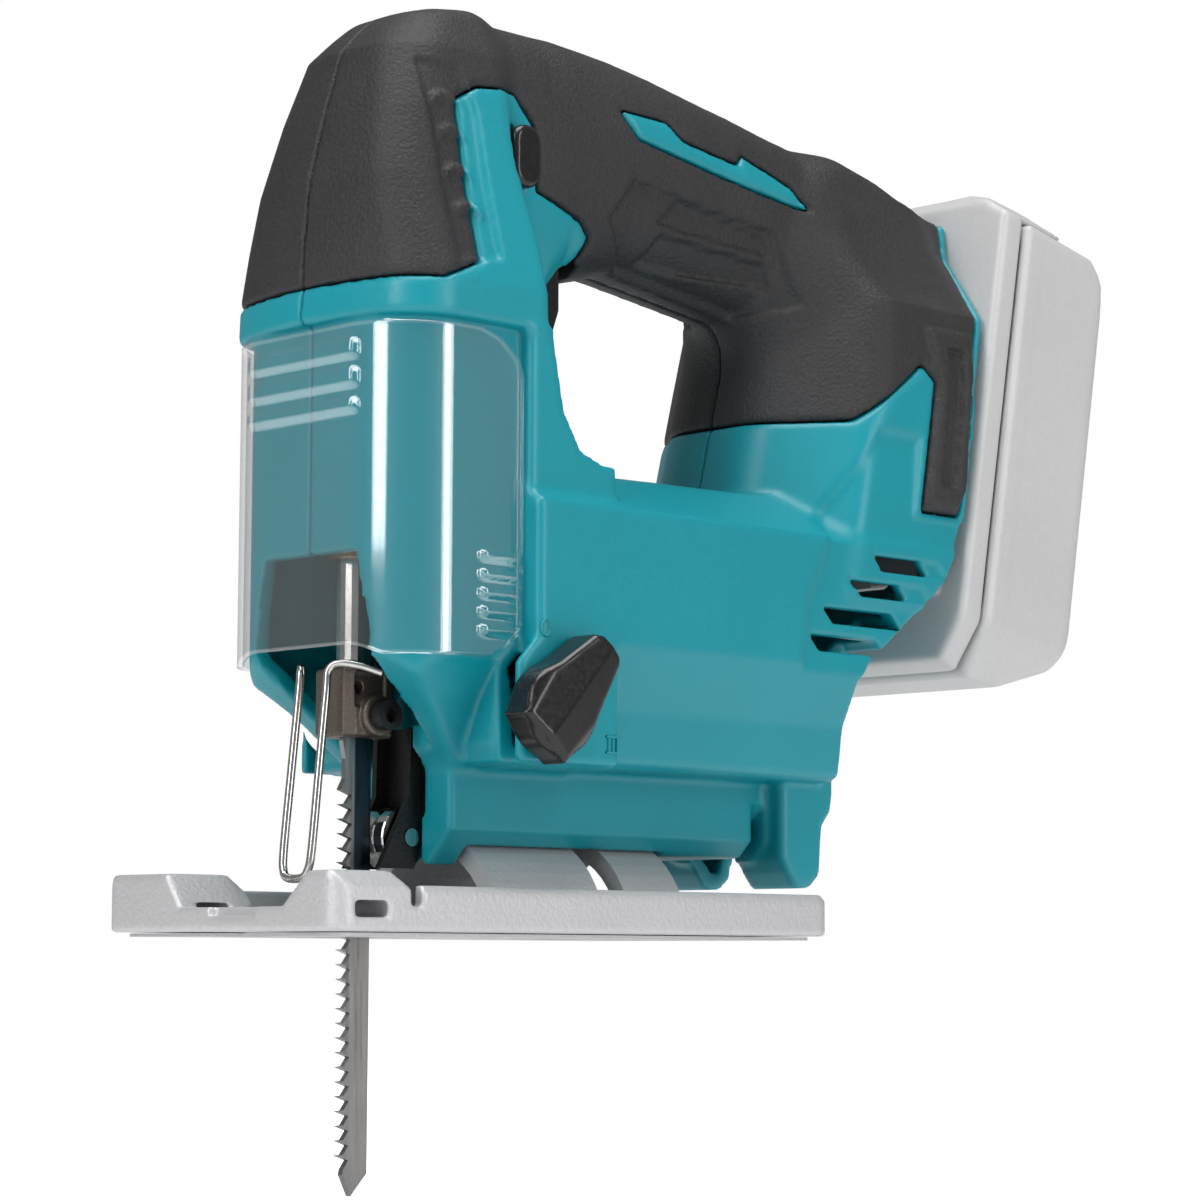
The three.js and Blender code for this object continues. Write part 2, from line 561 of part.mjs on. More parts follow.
function ring(x0, x1, outer, inner, z) {
  return cut(bar('x', outer, [x0, 0, z], x1 - x0, 24), bar('x', inner, [x0 - 1, 0, z], x1 - x0 + 2, 24));
}

addPart('gear_bearing', ring(-12.3, -8.4, 8, 5.2, GEAR_Z), brightSteel);
addPart('motor_pinion', gearSolid(
  PINION_TEETH, gearX0 - 0.3, gearX1 + 0.3, MOTOR_Z, Math.PI / 2 + Math.PI / PINION_TEETH, 2.3,
), sinteredSteel);
addPart('motor_shaft', bar('x', 2, [-24.5, 0, MOTOR_Z], 112.5, 16), brightSteel);
addPart('bearing_front', ring(4.3, 8.7, 8, 2.3, MOTOR_Z), brightSteel);
addPart('bearing_rear', ring(82.3, 86.7, 8, 2.3, MOTOR_Z), brightSteel);

const fanHub = ring(12, 17, 7, 2.3, MOTOR_Z);
const fanDisc = ring(16, 17, 19, 6.5, MOTOR_Z);
const fanBlades = [];
const fanBladeCount = 9;
for (let i = 0; i < fanBladeCount; i += 1) {
  const turn = 360 * i / fanBladeCount;
  fanBlades.push(block(12, 16.4, 5, 18.6, -0.6, 0.6).rotate([turn, 0, 0]).translate([0, 0, MOTOR_Z]));
}
addPart('cooling_fan', join(fanHub, fanDisc, ...fanBlades), glossBlack);
addPart('armature', ring(24, 70, 14, 2.3, MOTOR_Z), copper);
addPart('motor_can', ring(21, 74, 19.2, 15, MOTOR_Z), blackSteel);

function bush(z0, z1) {
  return cut(bar('z', 6, [ROD_X, 0, z0], z1 - z0, 20), bar('z', 4.8, [ROD_X, 0, z0 - 1], z1 - z0 + 2, 20));
}
addPart('rod_bush_upper', bush(124.8, 130), copper);
addPart('rod_bush_lower', bush(80.2, 85), copper);

// ---------------------------------------------------------------- controls
const leverBoss = bar('y', 9.6, [LEVER_X, -43.6, LEVER_Z], 7, 24);
const leverAngle = THREE.MathUtils.degToRad(48);
const leverArm = sideSlab([[-9, -7.5], [3, -8.6], [17.5, -4.6], [19.2, 0], [17.5, 4.6], [3, 8.6], [-9, 7.5]]
  .map(([u, v]) => [
    LEVER_X + u * Math.cos(leverAngle) - v * Math.sin(leverAngle),
    LEVER_Z + u * Math.sin(leverAngle) + v * Math.cos(leverAngle),
  ]), -46, -36.6);
const leverShaft = bar('y', 5, [LEVER_X, -37, LEVER_Z], 4, 20);
addPart('change_lever', join(leverBoss, leverArm, leverShaft), glossBlack);

const triggerOutline = [
  [-3, 162], [12, 160], [15.6, 150.5], [15.6, 140], [13.6, 134.6], [9.6, 133.2], [6.8, 136], [4, 148], [-3, 156],
];
addPart('trigger', sideSlab(triggerOutline, -8.6, 8.6), glossBlack);

const buttonFaces = planSlab([[-12.4, -23.4], [-4, -23.4], [-4, 23.4], [-12.4, 23.4]], 162, 176)
  .intersect(bar('y', 7, [-8.2, -30, 169], 60, 24));
const buttonWaist = cut(block(-20, 4, -14.2, 14.2, 150, 190), block(-10.6, -5.8, -15, 15, 165.5, 172.5));
addPart('lock_off_button', cut(buttonFaces, buttonWaist), glossBlack);

addPart('switch_body', block(-1, 32, -11, 11, 166.8, 186), glossBlack);
addPart('control_board', block(86, 104, -15, 15, 118, 121), boardGreen);
addPart('terminal_block', placed(block(-20.5, -16.9, -24, 24, 46, 80)), glossBlack);

// ---------------------------------------------------------------- base
const planCorner = 4.5;
function basePlan(inset, radius) {
  return roundedPlan(-BASE_HALF_LENGTH + inset, BASE_HALF_LENGTH - inset, BASE_HALF_WIDTH - inset, radius, radius);
}

function baseSlab(inset, radius, z0, z1) {
  const geometry = new THREE.ExtrudeGeometry(basePlan(inset, radius), {
    depth: z1 - z0, bevelEnabled: false, curveSegments: 4,
  });
  geometry.translate(0, 0, z0);
  return toSolid(geometry);
}

const rimWidth = 3;
const castFrame = cut(
  join(baseSlab(0, planCorner, SOLE_THICKNESS + 0.1, RIM_TOP - 0.9), baseSlab(0.8, planCorner - 0.8, 5, RIM_TOP)),
  block(-54, BASE_HALF_LENGTH - rimWidth, -BASE_HALF_WIDTH + rimWidth, BASE_HALF_WIDTH - rimWidth, FLOOR_TOP, 20),
);
const ledge = block(-90, -50, -40, 40, 5.9, 20);
const bosses = [-1, 1].map((side) => {
  const inner = side < 0 ? -21 : 12;
  const profile = side < 0
    ? [[-38.5, 5], [-38.5, 9.8], [-35.5, BOSS_TOP], [-29, BOSS_TOP], [inner, 5.9], [inner, 5]]
    : [[38.5, 5], [inner, 5], [inner, 5.9], [17, BOSS_TOP], [35.5, BOSS_TOP], [38.5, 9.8]];
  return frontSlab(side < 0 ? profile.reverse() : profile, -BASE_HALF_LENGTH, -52.6)
    .intersect(baseSlab(0, planCorner, 1, 14))
    .intersect(sideSlab([[-80, 1], [-80, 9.6], [-70, 14], [-57, 14], [-52.6, 9], [-52.6, 1]], -40, 40));
});
const sightNotch = block(-80, -70.6, -12.4, 2.2, 4.2, 10);
const bladeOpening = planSlab([[-54, -13], [-46, -21], [DOME_FROM - 0.6, -21], [DOME_FROM - 0.6, 21], [-46, 21],
  [-54, 13]], 0, 6);
const ruleSlot = block(-67.4, -59, -45, 45, 3.7, 7.1);
const boltAccess = block(3, 37, -17, 17, 0, 6);
const frameTopCut = cut(castFrame, ledge);
addPart('base_plate', cut(
  join(frameTopCut, ...bosses), sightNotch, bladeOpening, ruleSlot, boltAccess,
), castAluminium);

const soleShape = basePlan(3.2, 3);
const soleGeometry = new THREE.ExtrudeGeometry(soleShape, {
  depth: SOLE_THICKNESS - 0.1, bevelEnabled: false, curveSegments: 4,
});
const bladeSlotSole = block(-80, -22, -5.5, 5.5, -1, 2);
const boltHoleSole = bar('z', 7.5, [20, 0, -1], 4, 20);
addPart('sole_plate', cut(toSolid(soleGeometry), bladeSlotSole, boltHoleSole), blackSteel);

const domeOuter = bar('x', DOME_RADIUS, [DOME_FROM, 0, 0], DOME_TO - DOME_FROM, 48);
const domeInner = bar('x', DOME_RADIUS - 4, [DOME_FROM - 1, 0, 0], DOME_TO - DOME_FROM + 2, 40);
const domeFlat = block(DOME_FROM - 1, DOME_TO + 1, -40, 40, -40, FLOOR_TOP + GAP);
const domeSlot = frontSlab([[0, 0], [-26, 11], [-26, 40], [26, 40], [26, 11]], 16, 24);
addPart('base_mount', cut(domeOuter, domeInner, domeFlat, domeSlot), castAluminium);

const boltHead = cut(bar('z', 6, [20, 0, 9.6], 6, 6), bar('z', 2.6, [20, 0, 8], 4.6, 6));
addPart('base_bolt', join(boltHead, bar('z', 2.9, [20, 0, 15], 17, 16)), blackSteel);

// ---------------------------------------------------------------- battery pack
const packBottom = -1;
const packTop = 114.8;
const caseFront = 1.6;
const caseRear = 36.6;
const packGeometry = new THREE.ExtrudeGeometry(roundedPlan(caseFront, caseRear, 37.3, 1, 7), {
  depth: packTop - packBottom, bevelEnabled: false, curveSegments: 4,
});
packGeometry.translate(0, 0, packBottom);
const packSide = sideSlab([
  [0, packBottom], [14, packBottom], [30, packBottom + 8], [caseRear, packBottom + 18], [caseRear, packTop - 14],
  [caseRear - 3, packTop - 6], [caseRear - 9, packTop - 1], [0, packTop],
], -40, 40);
const packEnds = frontSlab(mirrored([
  [0, 130], [38, 130], [38, 13.4], [30.5, packBottom], [0, packBottom],
]), -20, 40);
const packHollow = sideSlab([
  [caseFront - 1, 15], [30, 15], [33.4, 19], [33.4, 99], [29, 108], [caseFront - 1, 111],
], -34, 34);
const packCase = toSolid(packGeometry).intersect(packSide).intersect(packEnds);
addPart('battery_lower_case', placed(cut(packCase, packHollow)), paleGrey);

const flange = sideSlab([
  [-6.2, 2], [-6.2, 119], [-2, 123.4], [1, 124], [caseFront - GAP, 124], [caseFront - GAP, 0],
], -36, 36);
const hump = sideSlab([
  [0, packTop + GAP], [0, 124], [10, 123.4], [17, packTop + 2], [18, packTop + GAP - 0.4],
], -36, 36);
const humpOutline = frontSlab(mirrored([
  [0, 117.5], [6, 118.5], [13, 123], [20, 123.6], [27, 121], [32, 117.5], [35.8, 115.2], [35.8, 13], [29, 0], [0, 0],
]), -20, 30);
const slider = block(-15, -5, -27.6, 27.6, 18, 82.5);
const sliderGrooves = [-28, 24.6].map((y) => block(-11, -7.4, y, y + 3.4, 10, 90));
const releasePocket = block(-16, -5.2, -12.8, 12.8, 17, 32.2);
const contactPocket = block(-16, -12, -16.3, 16.3, 48, 79);
addPart('battery_upper_case', placed(cut(
  join(join(flange, hump).intersect(humpOutline), slider), releasePocket, contactPocket, ...sliderGrooves,
)), paleGrey);
addPart('battery_release', placed(block(-13.6, -8.2, -12.4, 12.4, 18.8, 31.8)), paleGrey);
addPart('battery_contacts', placed(block(-14.6, -12.3, -16, 16, 48.3, 78.7)), glossBlack);

const cellRadius = 8;
const cellLength = 64;
const cellPitch = 16.6;
for (let i = 0; i < 10; i += 1) {
  const row = Math.floor(i / 5);
  const column = i % 5;
  const x = 10 + row * 14.6;
  const z = 23.4 + (column + row / 2) * cellPitch;
  addPart(`battery_cell_${i + 1}`, placed(bar('y', cellRadius, [x, -cellLength / 2, z], cellLength, 12)), cellBlue);
}

export default jigsaw;
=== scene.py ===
import json
import math

import bpy
import numpy as np
from mathutils import Matrix

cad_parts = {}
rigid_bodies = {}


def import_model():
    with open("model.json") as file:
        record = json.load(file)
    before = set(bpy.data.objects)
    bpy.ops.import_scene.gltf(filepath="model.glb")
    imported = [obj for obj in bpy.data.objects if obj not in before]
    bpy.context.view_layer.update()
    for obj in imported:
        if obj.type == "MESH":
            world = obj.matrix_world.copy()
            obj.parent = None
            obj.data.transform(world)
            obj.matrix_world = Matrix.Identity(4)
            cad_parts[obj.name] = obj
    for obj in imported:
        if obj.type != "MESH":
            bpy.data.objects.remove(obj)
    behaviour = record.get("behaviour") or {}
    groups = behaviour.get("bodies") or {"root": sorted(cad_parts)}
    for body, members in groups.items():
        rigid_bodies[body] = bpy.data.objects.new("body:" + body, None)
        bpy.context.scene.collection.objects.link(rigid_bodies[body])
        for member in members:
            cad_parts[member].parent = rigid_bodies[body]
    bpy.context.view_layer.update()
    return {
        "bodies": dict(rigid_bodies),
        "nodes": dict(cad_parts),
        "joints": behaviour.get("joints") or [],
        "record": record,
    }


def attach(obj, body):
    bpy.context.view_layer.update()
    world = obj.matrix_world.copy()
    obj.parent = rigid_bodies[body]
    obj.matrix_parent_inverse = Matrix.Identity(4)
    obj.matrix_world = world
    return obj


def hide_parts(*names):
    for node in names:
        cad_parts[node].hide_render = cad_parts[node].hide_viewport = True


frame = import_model()
mm = 0.001
cadNodes = frame["nodes"]
print("frame loaded,", len(cadNodes), "nodes")


# Distance fields: negative inside, positive outside, in mm

# Distance to the nearest edge of a closed outline; the sign comes from how many edges a ray crosses.
def outlineDistance(u, v, points):
    u, v = np.broadcast_arrays(u.astype(np.float32), v.astype(np.float32))
    best = np.full(u.shape, 1e9, np.float32)
    inside = np.zeros(u.shape, bool)
    for (au, av), (bu, bv) in zip(points, points[1:] + points[:1]):
        eu, ev = bu - au, bv - av
        t = np.clip(((u - au) * eu + (v - av) * ev) / (eu * eu + ev * ev + 1e-9), 0, 1)
        best = np.minimum(best, (u - au - t * eu) ** 2 + (v - av - t * ev) ** 2)
        if ev:
            inside ^= ((av > v) != (bv > v)) & (u < au + (v - av) * eu / ev)
    return np.where(inside, -1, 1).astype(np.float32) * np.sqrt(best)


# Where two solids overlap: the larger distance, with the corner rounded to a radius.
def roundMax(a, b, radius):
    corner = np.hypot(np.maximum(a + radius, 0), np.maximum(b + radius, 0))
    return np.minimum(np.maximum(a, b), -radius) + corner


# Two solids joined: the smaller distance, with the inner corner filled to a radius.
def roundMin(a, b, radius):
    fillet = np.hypot(np.maximum(radius - a, 0), np.maximum(radius - b, 0))
    return np.maximum(np.minimum(a, b), radius) - fillet


# Smooth step from 0 to 1 while a distance falls from +width to -width.
def insideShare(distance, width):
    t = np.clip(0.5 - distance / (2 * width), 0, 1)
    return t * t * (3 - 2 * t)


# A block of grid points with the distances that are cheap in two directions at a time.
class Grid:
    def __init__(self, xRange, yRange, zRange, step):
        ranges = (xRange, yRange, zRange)
        self.axes = [np.arange(low, high + step, step, dtype=np.float32) for low, high in ranges]
        self.step = step
        self.x = self.axes[0][:, None, None]
        self.y = self.axes[1][None, :, None]
        self.z = self.axes[2][None, None, :]
        self.absY = np.abs(self.y)

    def side(self, points):  # outline of (x, z), the same at every y
        return outlineDistance(self.axes[0][:, None], self.axes[2][None, :], points)[:, None, :]

    def front(self, half):  # outline of (|y|, z), mirrored, the same at every x
        whole = half + [(-y, z) for y, z in reversed(half)]
        return outlineDistance(np.abs(self.axes[1])[:, None], self.axes[2][None, :], whole)[None, :, :]

    def section(self, points):  # outline of (y, z), not mirrored
        return outlineDistance(self.axes[1][:, None], self.axes[2][None, :], points)[None, :, :]

    def plan(self, points):  # outline of (x, y), the same at every z
        return outlineDistance(self.axes[0][:, None], self.axes[1][None, :], points)[:, :, None]

    def box(self, x, y, z, radius=0.0):
        across, deep = np.maximum(x[0] - self.x, self.x - x[1]), np.maximum(y[0] - self.y, self.y - y[1])
        d = roundMax(across, deep, radius)
        return roundMax(d, np.maximum(z[0] - self.z, self.z - z[1]), radius)

    def rod(self, axis, radius, centre, low, high, corner=0.0):  # round bar along one axis
        a, b = [i for i in range(3) if i != axis]
        places = (self.x, self.y, self.z)
        r = np.hypot(places[a] - centre[0], places[b] - centre[1]) - radius
        return roundMax(r, np.maximum(low - places[axis], places[axis] - high), corner)


# Surface of a field: one point in each cell the surface passes, at the mean of the places where it crosses
# the cell's edges, and one four-sided face round each crossed grid edge, turned to face outwards.
def fieldSurface(field, grid):
    shape = np.array(field.shape)
    inside = field < 0
    cells = tuple(shape - 1)
    total = int(np.prod(cells))
    counts = np.zeros(total)
    sums = np.zeros((3, total))
    quads = []
    for a in range(3):
        b, c = (a + 1) % 3, (a + 2) % 3
        low, high = [slice(None)] * 3, [slice(None)] * 3
        low[a], high[a] = slice(0, -1), slice(1, None)
        at = np.argwhere(inside[tuple(low)] != inside[tuple(high)])
        keep = (at[:, b] > 0) & (at[:, b] < shape[b] - 1) & (at[:, c] > 0) & (at[:, c] < shape[c] - 1)
        at = at[keep]
        there = at.copy()
        there[:, a] += 1
        here, beyond = field[tuple(at.T)], field[tuple(there.T)]
        place = at.astype(float)
        place[:, a] += here / (here - beyond)
        around = []
        for db, dc in ((-1, -1), (0, -1), (0, 0), (-1, 0)):
            cell = at.copy()
            cell[:, b] += db
            cell[:, c] += dc
            flat = np.ravel_multi_index(tuple(cell.T), cells)
            counts += np.bincount(flat, minlength=total)
            for k in range(3):
                sums[k] += np.bincount(flat, weights=place[:, k], minlength=total)
            around.append(flat)
        quad = np.stack(around, 1)
        turned = here >= 0
        quad[turned] = quad[turned][:, ::-1]
        quads.append(quad)
    used = np.flatnonzero(counts)
    number = np.zeros(total, np.int64)
    number[used] = np.arange(len(used))
    origin = np.array([axis[0] for axis in grid.axes])
    points = origin + grid.step * (sums[:, used] / counts[used]).T
    return points, number[np.concatenate(quads)]


# Meshes

def meshObject(name, points, faces, material, body, smooth=True):
    mesh = bpy.data.meshes.new(name)
    faces = np.asarray(faces, np.int32)
    mesh.vertices.add(len(points))
    mesh.vertices.foreach_set("co", (np.asarray(points) * mm).astype(np.float32).ravel())
    mesh.loops.add(faces.size)
    mesh.loops.foreach_set("vertex_index", faces.ravel())
    mesh.polygons.add(len(faces))
    mesh.polygons.foreach_set("loop_start", np.arange(0, faces.size, faces.shape[1], dtype=np.int32))
    mesh.polygons.foreach_set("use_smooth", np.full(len(faces), smooth))
    mesh.update(calc_edges=True)
    mesh.validate()
    obj = bpy.data.objects.new(name, mesh)
    bpy.context.scene.collection.objects.link(obj)
    mesh.materials.append(material)
    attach(obj, body)
    return obj


def fieldObject(name, field, grid, material, body, place=None):
    points, faces = fieldSurface(field, grid)
    if place is not None:
        points = place(points)
    print(name, len(faces) * 2, "triangles")
    return meshObject(name, points, faces, material, body)


# Faces of a grid of points, rows by columns, closed round either way if asked.
def gridFaces(rows, columns, closeRows=False, closeColumns=False):
    r = np.arange(rows if closeRows else rows - 1)[:, None]
    c = np.arange(columns if closeColumns else columns - 1)[None, :]
    r2, c2 = (r + 1) % rows, (c + 1) % columns
    corners = [r * columns + c, r * columns + c2, r2 * columns + c2, r2 * columns + c]
    return np.stack(corners, -1).reshape(-1, 4)


# A round section carried along a path: centre + radius * (cos t * side + sin t * lift), with a cap point at
# each end, where side is the path's direction crossed with one fixed direction.
def roundSweep(path, radius, sides, fixed=(1.0, 0.3, 0.1)):
    path = np.asarray(path, float)
    way = np.gradient(path, axis=0)
    way /= np.linalg.norm(way, axis=1, keepdims=True)
    side = np.cross(way, fixed)
    side /= np.linalg.norm(side, axis=1, keepdims=True)
    lift = np.cross(way, side)
    t = np.linspace(0, 2 * np.pi, sides, endpoint=False)[None, :, None]
    rings = path[:, None] + radius * (np.cos(t) * side[:, None] + np.sin(t) * lift[:, None])
    count = len(path)
    points = np.concatenate([rings.reshape(-1, 3), path[:1], path[-1:]])
    body = gridFaces(count, sides, closeColumns=True)
    ring = np.arange(sides)
    nextOne = (ring + 1) % sides
    first, last = count * sides, count * sides + 1
    capA = np.stack([np.full(sides, first), nextOne, ring, ring], 1)
    lastRing = first - sides
    capB = np.stack([np.full(sides, last), ring + lastRing, nextOne + lastRing, nextOne + lastRing], 1)
    return points, np.concatenate([body, capA, capB])


# Smooth curve through points: each stretch is the cubic that passes its two ends with half the chord
# between their neighbours as slope.
def smoothPath(points, steps):
    p = np.asarray(points, float)
    ends = np.concatenate([2 * p[:1] - p[1:2], p, 2 * p[-1:] - p[-2:-1]])
    t = np.linspace(0, 1, steps, endpoint=False)[None, :, None]
    a, b, c, d = ends[:-3, None], ends[1:-2, None], ends[2:-1, None], ends[3:, None]
    curve = b + 0.5 * t * (c - a + t * (2 * a - 5 * b + 4 * c - d + t * (3 * (b - c) + d - a)))
    return np.concatenate([curve.reshape(-1, 3), p[-1:]])


# Finishes

# Every finish: two close colours mixed by soft noise and fine grain, a roughness that wanders with the
# grain, and a bump of that grain. stretch pulls the grain along one axis for drawn or brushed metal.
def makeFinish(name, look):
    material = bpy.data.materials.new(name)
    material.use_nodes = True
    nodes, links = material.node_tree.nodes, material.node_tree.links
    shader = nodes["Principled BSDF"]
    place = nodes.new("ShaderNodeTexCoord")
    stretch = nodes.new("ShaderNodeMapping")
    stretch.inputs["Scale"].default_value = look.get("stretch", (1, 1, 1))
    links.new(place.outputs["Object"], stretch.inputs["Vector"])
    broad, grain = nodes.new("ShaderNodeTexNoise"), nodes.new("ShaderNodeTexNoise")
    broad.inputs["Scale"].default_value = look.get("broad", 30)
    broad.inputs["Detail"].default_value = 3
    grain.inputs["Scale"].default_value = look["grain"]
    grain.inputs["Detail"].default_value = 4
    links.new(place.outputs["Object"], broad.inputs["Vector"])
    links.new(stretch.outputs["Vector"], grain.inputs["Vector"])
    blend = nodes.new("ShaderNodeMath")
    blend.operation = "ADD"
    links.new(broad.outputs["Fac"], blend.inputs[0])
    links.new(grain.outputs["Fac"], blend.inputs[1])
    share = nodes.new("ShaderNodeMapRange")
    share.inputs["From Min"].default_value = 0.75
    share.inputs["From Max"].default_value = 1.25
    links.new(blend.outputs["Value"], share.inputs["Value"])
    colour = nodes.new("ShaderNodeMix")
    colour.data_type = "RGBA"
    colour.inputs["A"].default_value = (*look["colour"], 1)
    colour.inputs["B"].default_value = (*look["shade"], 1)
    links.new(share.outputs["Result"], colour.inputs["Factor"])
    links.new(colour.outputs["Result"], shader.inputs["Base Color"])
    rough = nodes.new("ShaderNodeMapRange")
    rough.inputs["From Min"].default_value = 0.3
    rough.inputs["From Max"].default_value = 0.7
    rough.inputs["To Min"].default_value = look["rough"] - look.get("wander", 0.05)
    rough.inputs["To Max"].default_value = look["rough"] + look.get("wander", 0.05)
    links.new(grain.outputs["Fac"], rough.inputs["Value"])
    links.new(rough.outputs["Result"], shader.inputs["Roughness"])
    bump = nodes.new("ShaderNodeBump")
    bump.inputs["Strength"].default_value = look.get("bump", 0.2)
    bump.inputs["Distance"].default_value = look.get("depth", 0.0001)
    links.new(grain.outputs["Fac"], bump.inputs["Height"])
    links.new(bump.outputs["Normal"], shader.inputs["Normal"])
    shader.inputs["Metallic"].default_value = look.get("metal", 0)
    shader.inputs["Specular IOR Level"].default_value = look.get("specular", 0.5)
    shader.inputs["Coat Weight"].default_value = look.get("coat", 0)
    shader.inputs["Coat Roughness"].default_value = 0.08
    return material


looks = {
    "teal_plastic": dict(colour=(0.0, 0.245, 0.30), shade=(0.0, 0.265, 0.325), rough=0.4, grain=1400,
                         bump=0.3),
    "soft_black": dict(colour=(0.016, 0.016, 0.017), shade=(0.028, 0.028, 0.030), rough=0.55, grain=1250,
                       bump=0.9, depth=0.00035, specular=0.4),
    "gloss_black": dict(colour=(0.006, 0.006, 0.0065), shade=(0.01, 0.01, 0.011), rough=0.24, grain=900,
                        bump=0.04, coat=0.15, specular=0.4),
    "pale_grey_plastic": dict(colour=(0.50, 0.50, 0.505), shade=(0.54, 0.54, 0.545), rough=0.38, grain=900,
                              bump=0.1),
    "cast_aluminium": dict(colour=(0.56, 0.56, 0.57), shade=(0.53, 0.53, 0.54), rough=0.5, grain=1100,
                           bump=0.8, metal=0.5, wander=0.07, depth=0.0002, broad=45),
    "bright_steel": dict(colour=(0.62, 0.61, 0.59), shade=(0.5, 0.49, 0.47), rough=0.2, grain=700, bump=0.08,
                         metal=1, stretch=(1, 1, 0.1)),
    "sintered_steel": dict(colour=(0.20, 0.17, 0.145), shade=(0.13, 0.11, 0.095), rough=0.5, grain=2200,
                           bump=0.5, metal=0.9, wander=0.12),
    "black_steel": dict(colour=(0.018, 0.018, 0.02), shade=(0.032, 0.031, 0.033), rough=0.36, grain=1600,
                        bump=0.2, metal=0.6, wander=0.1),
    "blade_steel": dict(colour=(0.24, 0.235, 0.235), shade=(0.34, 0.33, 0.32), rough=0.32, grain=900,
                        bump=0.25, metal=1, stretch=(1, 1, 0.06), wander=0.1),
    "copper_and_iron": dict(colour=(0.55, 0.25, 0.12), shade=(0.4, 0.2, 0.1), rough=0.4, grain=1200,
                            bump=0.3, metal=0.9, stretch=(0.1, 1, 1)),
    "bronze": dict(colour=(0.45, 0.32, 0.16), shade=(0.35, 0.24, 0.12), rough=0.4, grain=1500, bump=0.3,
                   metal=1),
    "circuit_board": dict(colour=(0.01, 0.09, 0.04), shade=(0.02, 0.13, 0.06), rough=0.4, grain=600,
                          bump=0.2),
    "cell_wrap": dict(colour=(0.03, 0.12, 0.3), shade=(0.05, 0.16, 0.36), rough=0.35, grain=500, bump=0.1),
}
finishes = {name: makeFinish(name, look) for name, look in looks.items()}


# Clear moulding: see-through, with a gloss that grows towards grazing angles.
def makeClear(name):
    material = bpy.data.materials.new(name)
    material.use_nodes = True
    nodes, links = material.node_tree.nodes, material.node_tree.links
    shader = nodes["Principled BSDF"]
    place, mottle = nodes.new("ShaderNodeTexCoord"), nodes.new("ShaderNodeTexNoise")
    mottle.inputs["Scale"].default_value = 220
    links.new(place.outputs["Object"], mottle.inputs["Vector"])
    rough = nodes.new("ShaderNodeMapRange")
    rough.inputs["To Min"].default_value = 0.03
    rough.inputs["To Max"].default_value = 0.09
    links.new(mottle.outputs["Fac"], rough.inputs["Value"])
    links.new(rough.outputs["Result"], shader.inputs["Roughness"])
    shader.inputs["Base Color"].default_value = (0.96, 0.985, 0.99, 1)
    shader.inputs["Metallic"].default_value = 1.0
    edge = nodes.new("ShaderNodeLayerWeight")
    edge.inputs["Blend"].default_value = 0.12
    veil = nodes.new("ShaderNodeMapRange")
    veil.inputs["To Min"].default_value = 0.07
    veil.inputs["To Max"].default_value = 0.95
    links.new(edge.outputs["Facing"], veil.inputs["Value"])
    links.new(veil.outputs["Result"], shader.inputs["Alpha"])
    return material


finishes["clear_plastic"] = makeClear("clear_plastic")


# Blade: a dark blue painted band on its upper half, bare steel on the teeth and the lower half.
bladePaint = {"lowest": 6, "front": -36.6, "blur": 0.2, "colour": (0.03, 0.045, 0.06, 1)}


def paintBlade(material):
    nodes, links = material.node_tree.nodes, material.node_tree.links
    shader = nodes["Principled BSDF"]
    bare = shader.inputs["Base Color"].links[0].from_socket
    place, split = nodes.new("ShaderNodeTexCoord"), nodes.new("ShaderNodeSeparateXYZ")
    links.new(place.outputs["Object"], split.inputs["Vector"])
    shares = []
    for axis, edge in (("Z", bladePaint["lowest"]), ("X", bladePaint["front"])):
        step = nodes.new("ShaderNodeMapRange")
        step.inputs["From Min"].default_value = (edge - bladePaint["blur"]) * mm
        step.inputs["From Max"].default_value = (edge + bladePaint["blur"]) * mm
        links.new(split.outputs[axis], step.inputs["Value"])
        shares.append(step.outputs["Result"])
    both = nodes.new("ShaderNodeMath")
    both.operation = "MULTIPLY"
    links.new(shares[0], both.inputs[0])
    links.new(shares[1], both.inputs[1])
    mix = nodes.new("ShaderNodeMix")
    mix.data_type = "RGBA"
    links.new(both.outputs["Value"], mix.inputs["Factor"])
    links.new(bare, mix.inputs["A"])
    mix.inputs["B"].default_value = bladePaint["colour"]
    links.new(mix.outputs["Result"], shader.inputs["Base Color"])


paintBlade(finishes["blade_steel"])

# Carried-over frame nodes take their finish from this table, or else by their name.
nodeFinish = {
    "dust_cover": "clear_plastic", "wire_guard": "bright_steel", "plunger_rod": "bright_steel",
    "yoke": "sintered_steel", "blade_clamp": "sintered_steel", "clamp_screw": "black_steel",
    "blade": "blade_steel", "roller_holder": "black_steel", "guide_roller": "bright_steel",
    "roller_pin": "bright_steel", "crank_gear": "sintered_steel", "crank_pin": "bright_steel",
    "gear_axle": "bright_steel", "gear_bearing": "bright_steel", "motor_pinion": "sintered_steel",
    "motor_shaft": "bright_steel", "bearing_front": "bright_steel", "bearing_rear": "bright_steel",
    "armature": "copper_and_iron", "motor_can": "black_steel", "cooling_fan": "gloss_black",
    "rod_bush_upper": "bronze", "rod_bush_lower": "bronze", "change_lever": "gloss_black",
    "trigger": "gloss_black", "lock_off_button": "gloss_black", "switch_body": "gloss_black",
    "control_board": "circuit_board", "terminal_block": "gloss_black", "base_plate": "cast_aluminium",
    "sole_plate": "cast_aluminium", "base_mount": "cast_aluminium", "base_bolt": "black_steel",
    "battery_contacts": "gloss_black", "battery_release": "pale_grey_plastic",
}
for name, node in cadNodes.items():
    slot = nodeFinish.get(name)
    if slot is None:
        slot = ("teal_plastic" if name.startswith("housing_") and "screw" not in name
                else "soft_black" if name.startswith("grip")
                else "cell_wrap" if "cell" in name
                else "pale_grey_plastic" if name.startswith("battery") else "black_steel")
    node.data.materials.clear()
    node.data.materials.append(finishes[slot])
